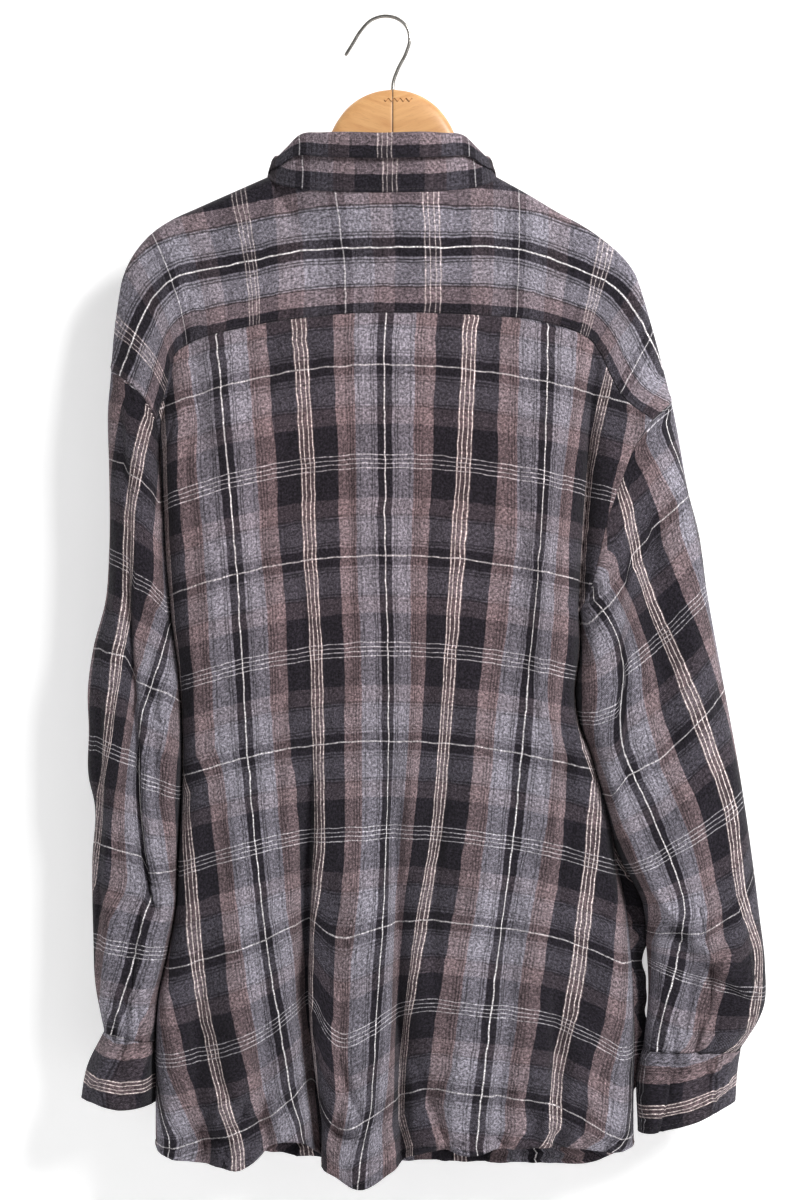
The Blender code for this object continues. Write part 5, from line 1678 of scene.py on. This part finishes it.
sew("collar_leaf_cloth", [(leaf[0], -1, "bottom", edge, (0.01, 0.99))], "collar")
sew("collar_stand_cloth", [(stand[0], 1, "bottom", stitchIn["stand"], (0.01, 0.99))], "collar")
print("seams sewn")

for name in list(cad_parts):
    if "button" in name:
        addButton(name, buttonStyle)
print("buttons made")

addHangerHalf("hanger_half_left", sides[0], 1)
addHangerHalf("hanger_half_right", sides[1], -1)
addHook(wireStyle)
for name, z in hanger["fasteners"].items():
    addFastener(name, z, steelStyle)
print("hanger made")

declareSheets()


def addPlane(name, corners, style):
    mesh = bpy.data.meshes.new(name)
    mesh.from_pydata(corners, [], [(0, 1, 2, 3)])
    mesh.materials.append(style)
    addObject(name, mesh)


def paleMaterial(name, colour, glow, oneSided):
    made, tree, shader = startMaterial(name)
    share = noise(tree, objectPlace(tree), 1.3, 2.0)
    tone = mixColour(tree, share, linear(colour), linear([c * 0.985 for c in colour]))
    fill(tree, shader, {
        "Base Color": tone, "Roughness": 0.95, "Specular IOR Level": 0.1,
        "Emission Color": (1, 1, 1, 1), "Emission Strength": glow,
    })
    if oneSided:
        facing = node(tree, "NewGeometry").outputs["Backfacing"]
        clear = node(tree, "BsdfTransparent").outputs[0]
        mixed = node(tree, "MixShader", enumerate((facing, shader.outputs[0], clear))).outputs[0]
        tree.links.new(mixed, tree.nodes["Material Output"].inputs["Surface"])
    return made


stage = {
    "wall": -0.072,  # metres, as the lights are
    "wallTop": 3,
    "floor": -1.75,
    "wallColour": (252, 252, 252),
    "floorColour": (240, 240, 240),
    "world": 0.18,
    "wallGlow": 0.42,
}
wallStyle = paleMaterial("Pale wall", stage["wallColour"], stage["wallGlow"], True)
floorStyle = paleMaterial("Pale floor", stage["floorColour"], 0, False)
y, low, high = stage["wall"], stage["floor"], stage["wallTop"]
addPlane("wall", [(4, y, low), (-4, y, low), (-4, y, high), (4, y, high)], wallStyle)
addPlane("floor", [(-6, -6, low), (6, -6, low), (6, 6, low), (-6, 6, low)], floorStyle)

bpy.context.scene.view_settings.view_transform = "Standard"
world = bpy.data.worlds.new("Pale studio")
world.use_nodes = True
world.node_tree.nodes["Background"].inputs["Color"].default_value = (1, 1, 1, 1)
world.node_tree.nodes["Background"].inputs["Strength"].default_value = stage["world"]
bpy.context.scene.world = world

lights = [
    {"name": "key", "at": (-1.75, 2.2, 0.95), "size": 0.95, "power": 100},
    {"name": "fill", "at": (1.7, 2.4, -0.3), "size": 2.2, "power": 7},
]
for light in lights:
    data = bpy.data.lights.new(light["name"], "AREA")
    data.size = light["size"]
    data.energy = light["power"]
    lamp = addObject(light["name"], data)
    lamp.location = light["at"]
    aim = Vector((0, 0, -0.5)) - Vector(light["at"])
    lamp.rotation_mode = "QUATERNION"
    lamp.rotation_quaternion = aim.to_track_quat("-Z", "Y")

view = {"x": -14.1, "z": -517.1, "distance": 2600, "height": 1056, "from": 25}
camera = addObject("camera", bpy.data.cameras.new("camera"))
camera.data.lens = camera.data.sensor_width * view["distance"] / view["height"]
camera.location = (view["x"] * mm, (view["from"] + view["distance"]) * mm, view["z"] * mm)
camera.rotation_euler = (pi / 2, 0, pi)
bpy.context.scene.camera = camera
print("stage made")
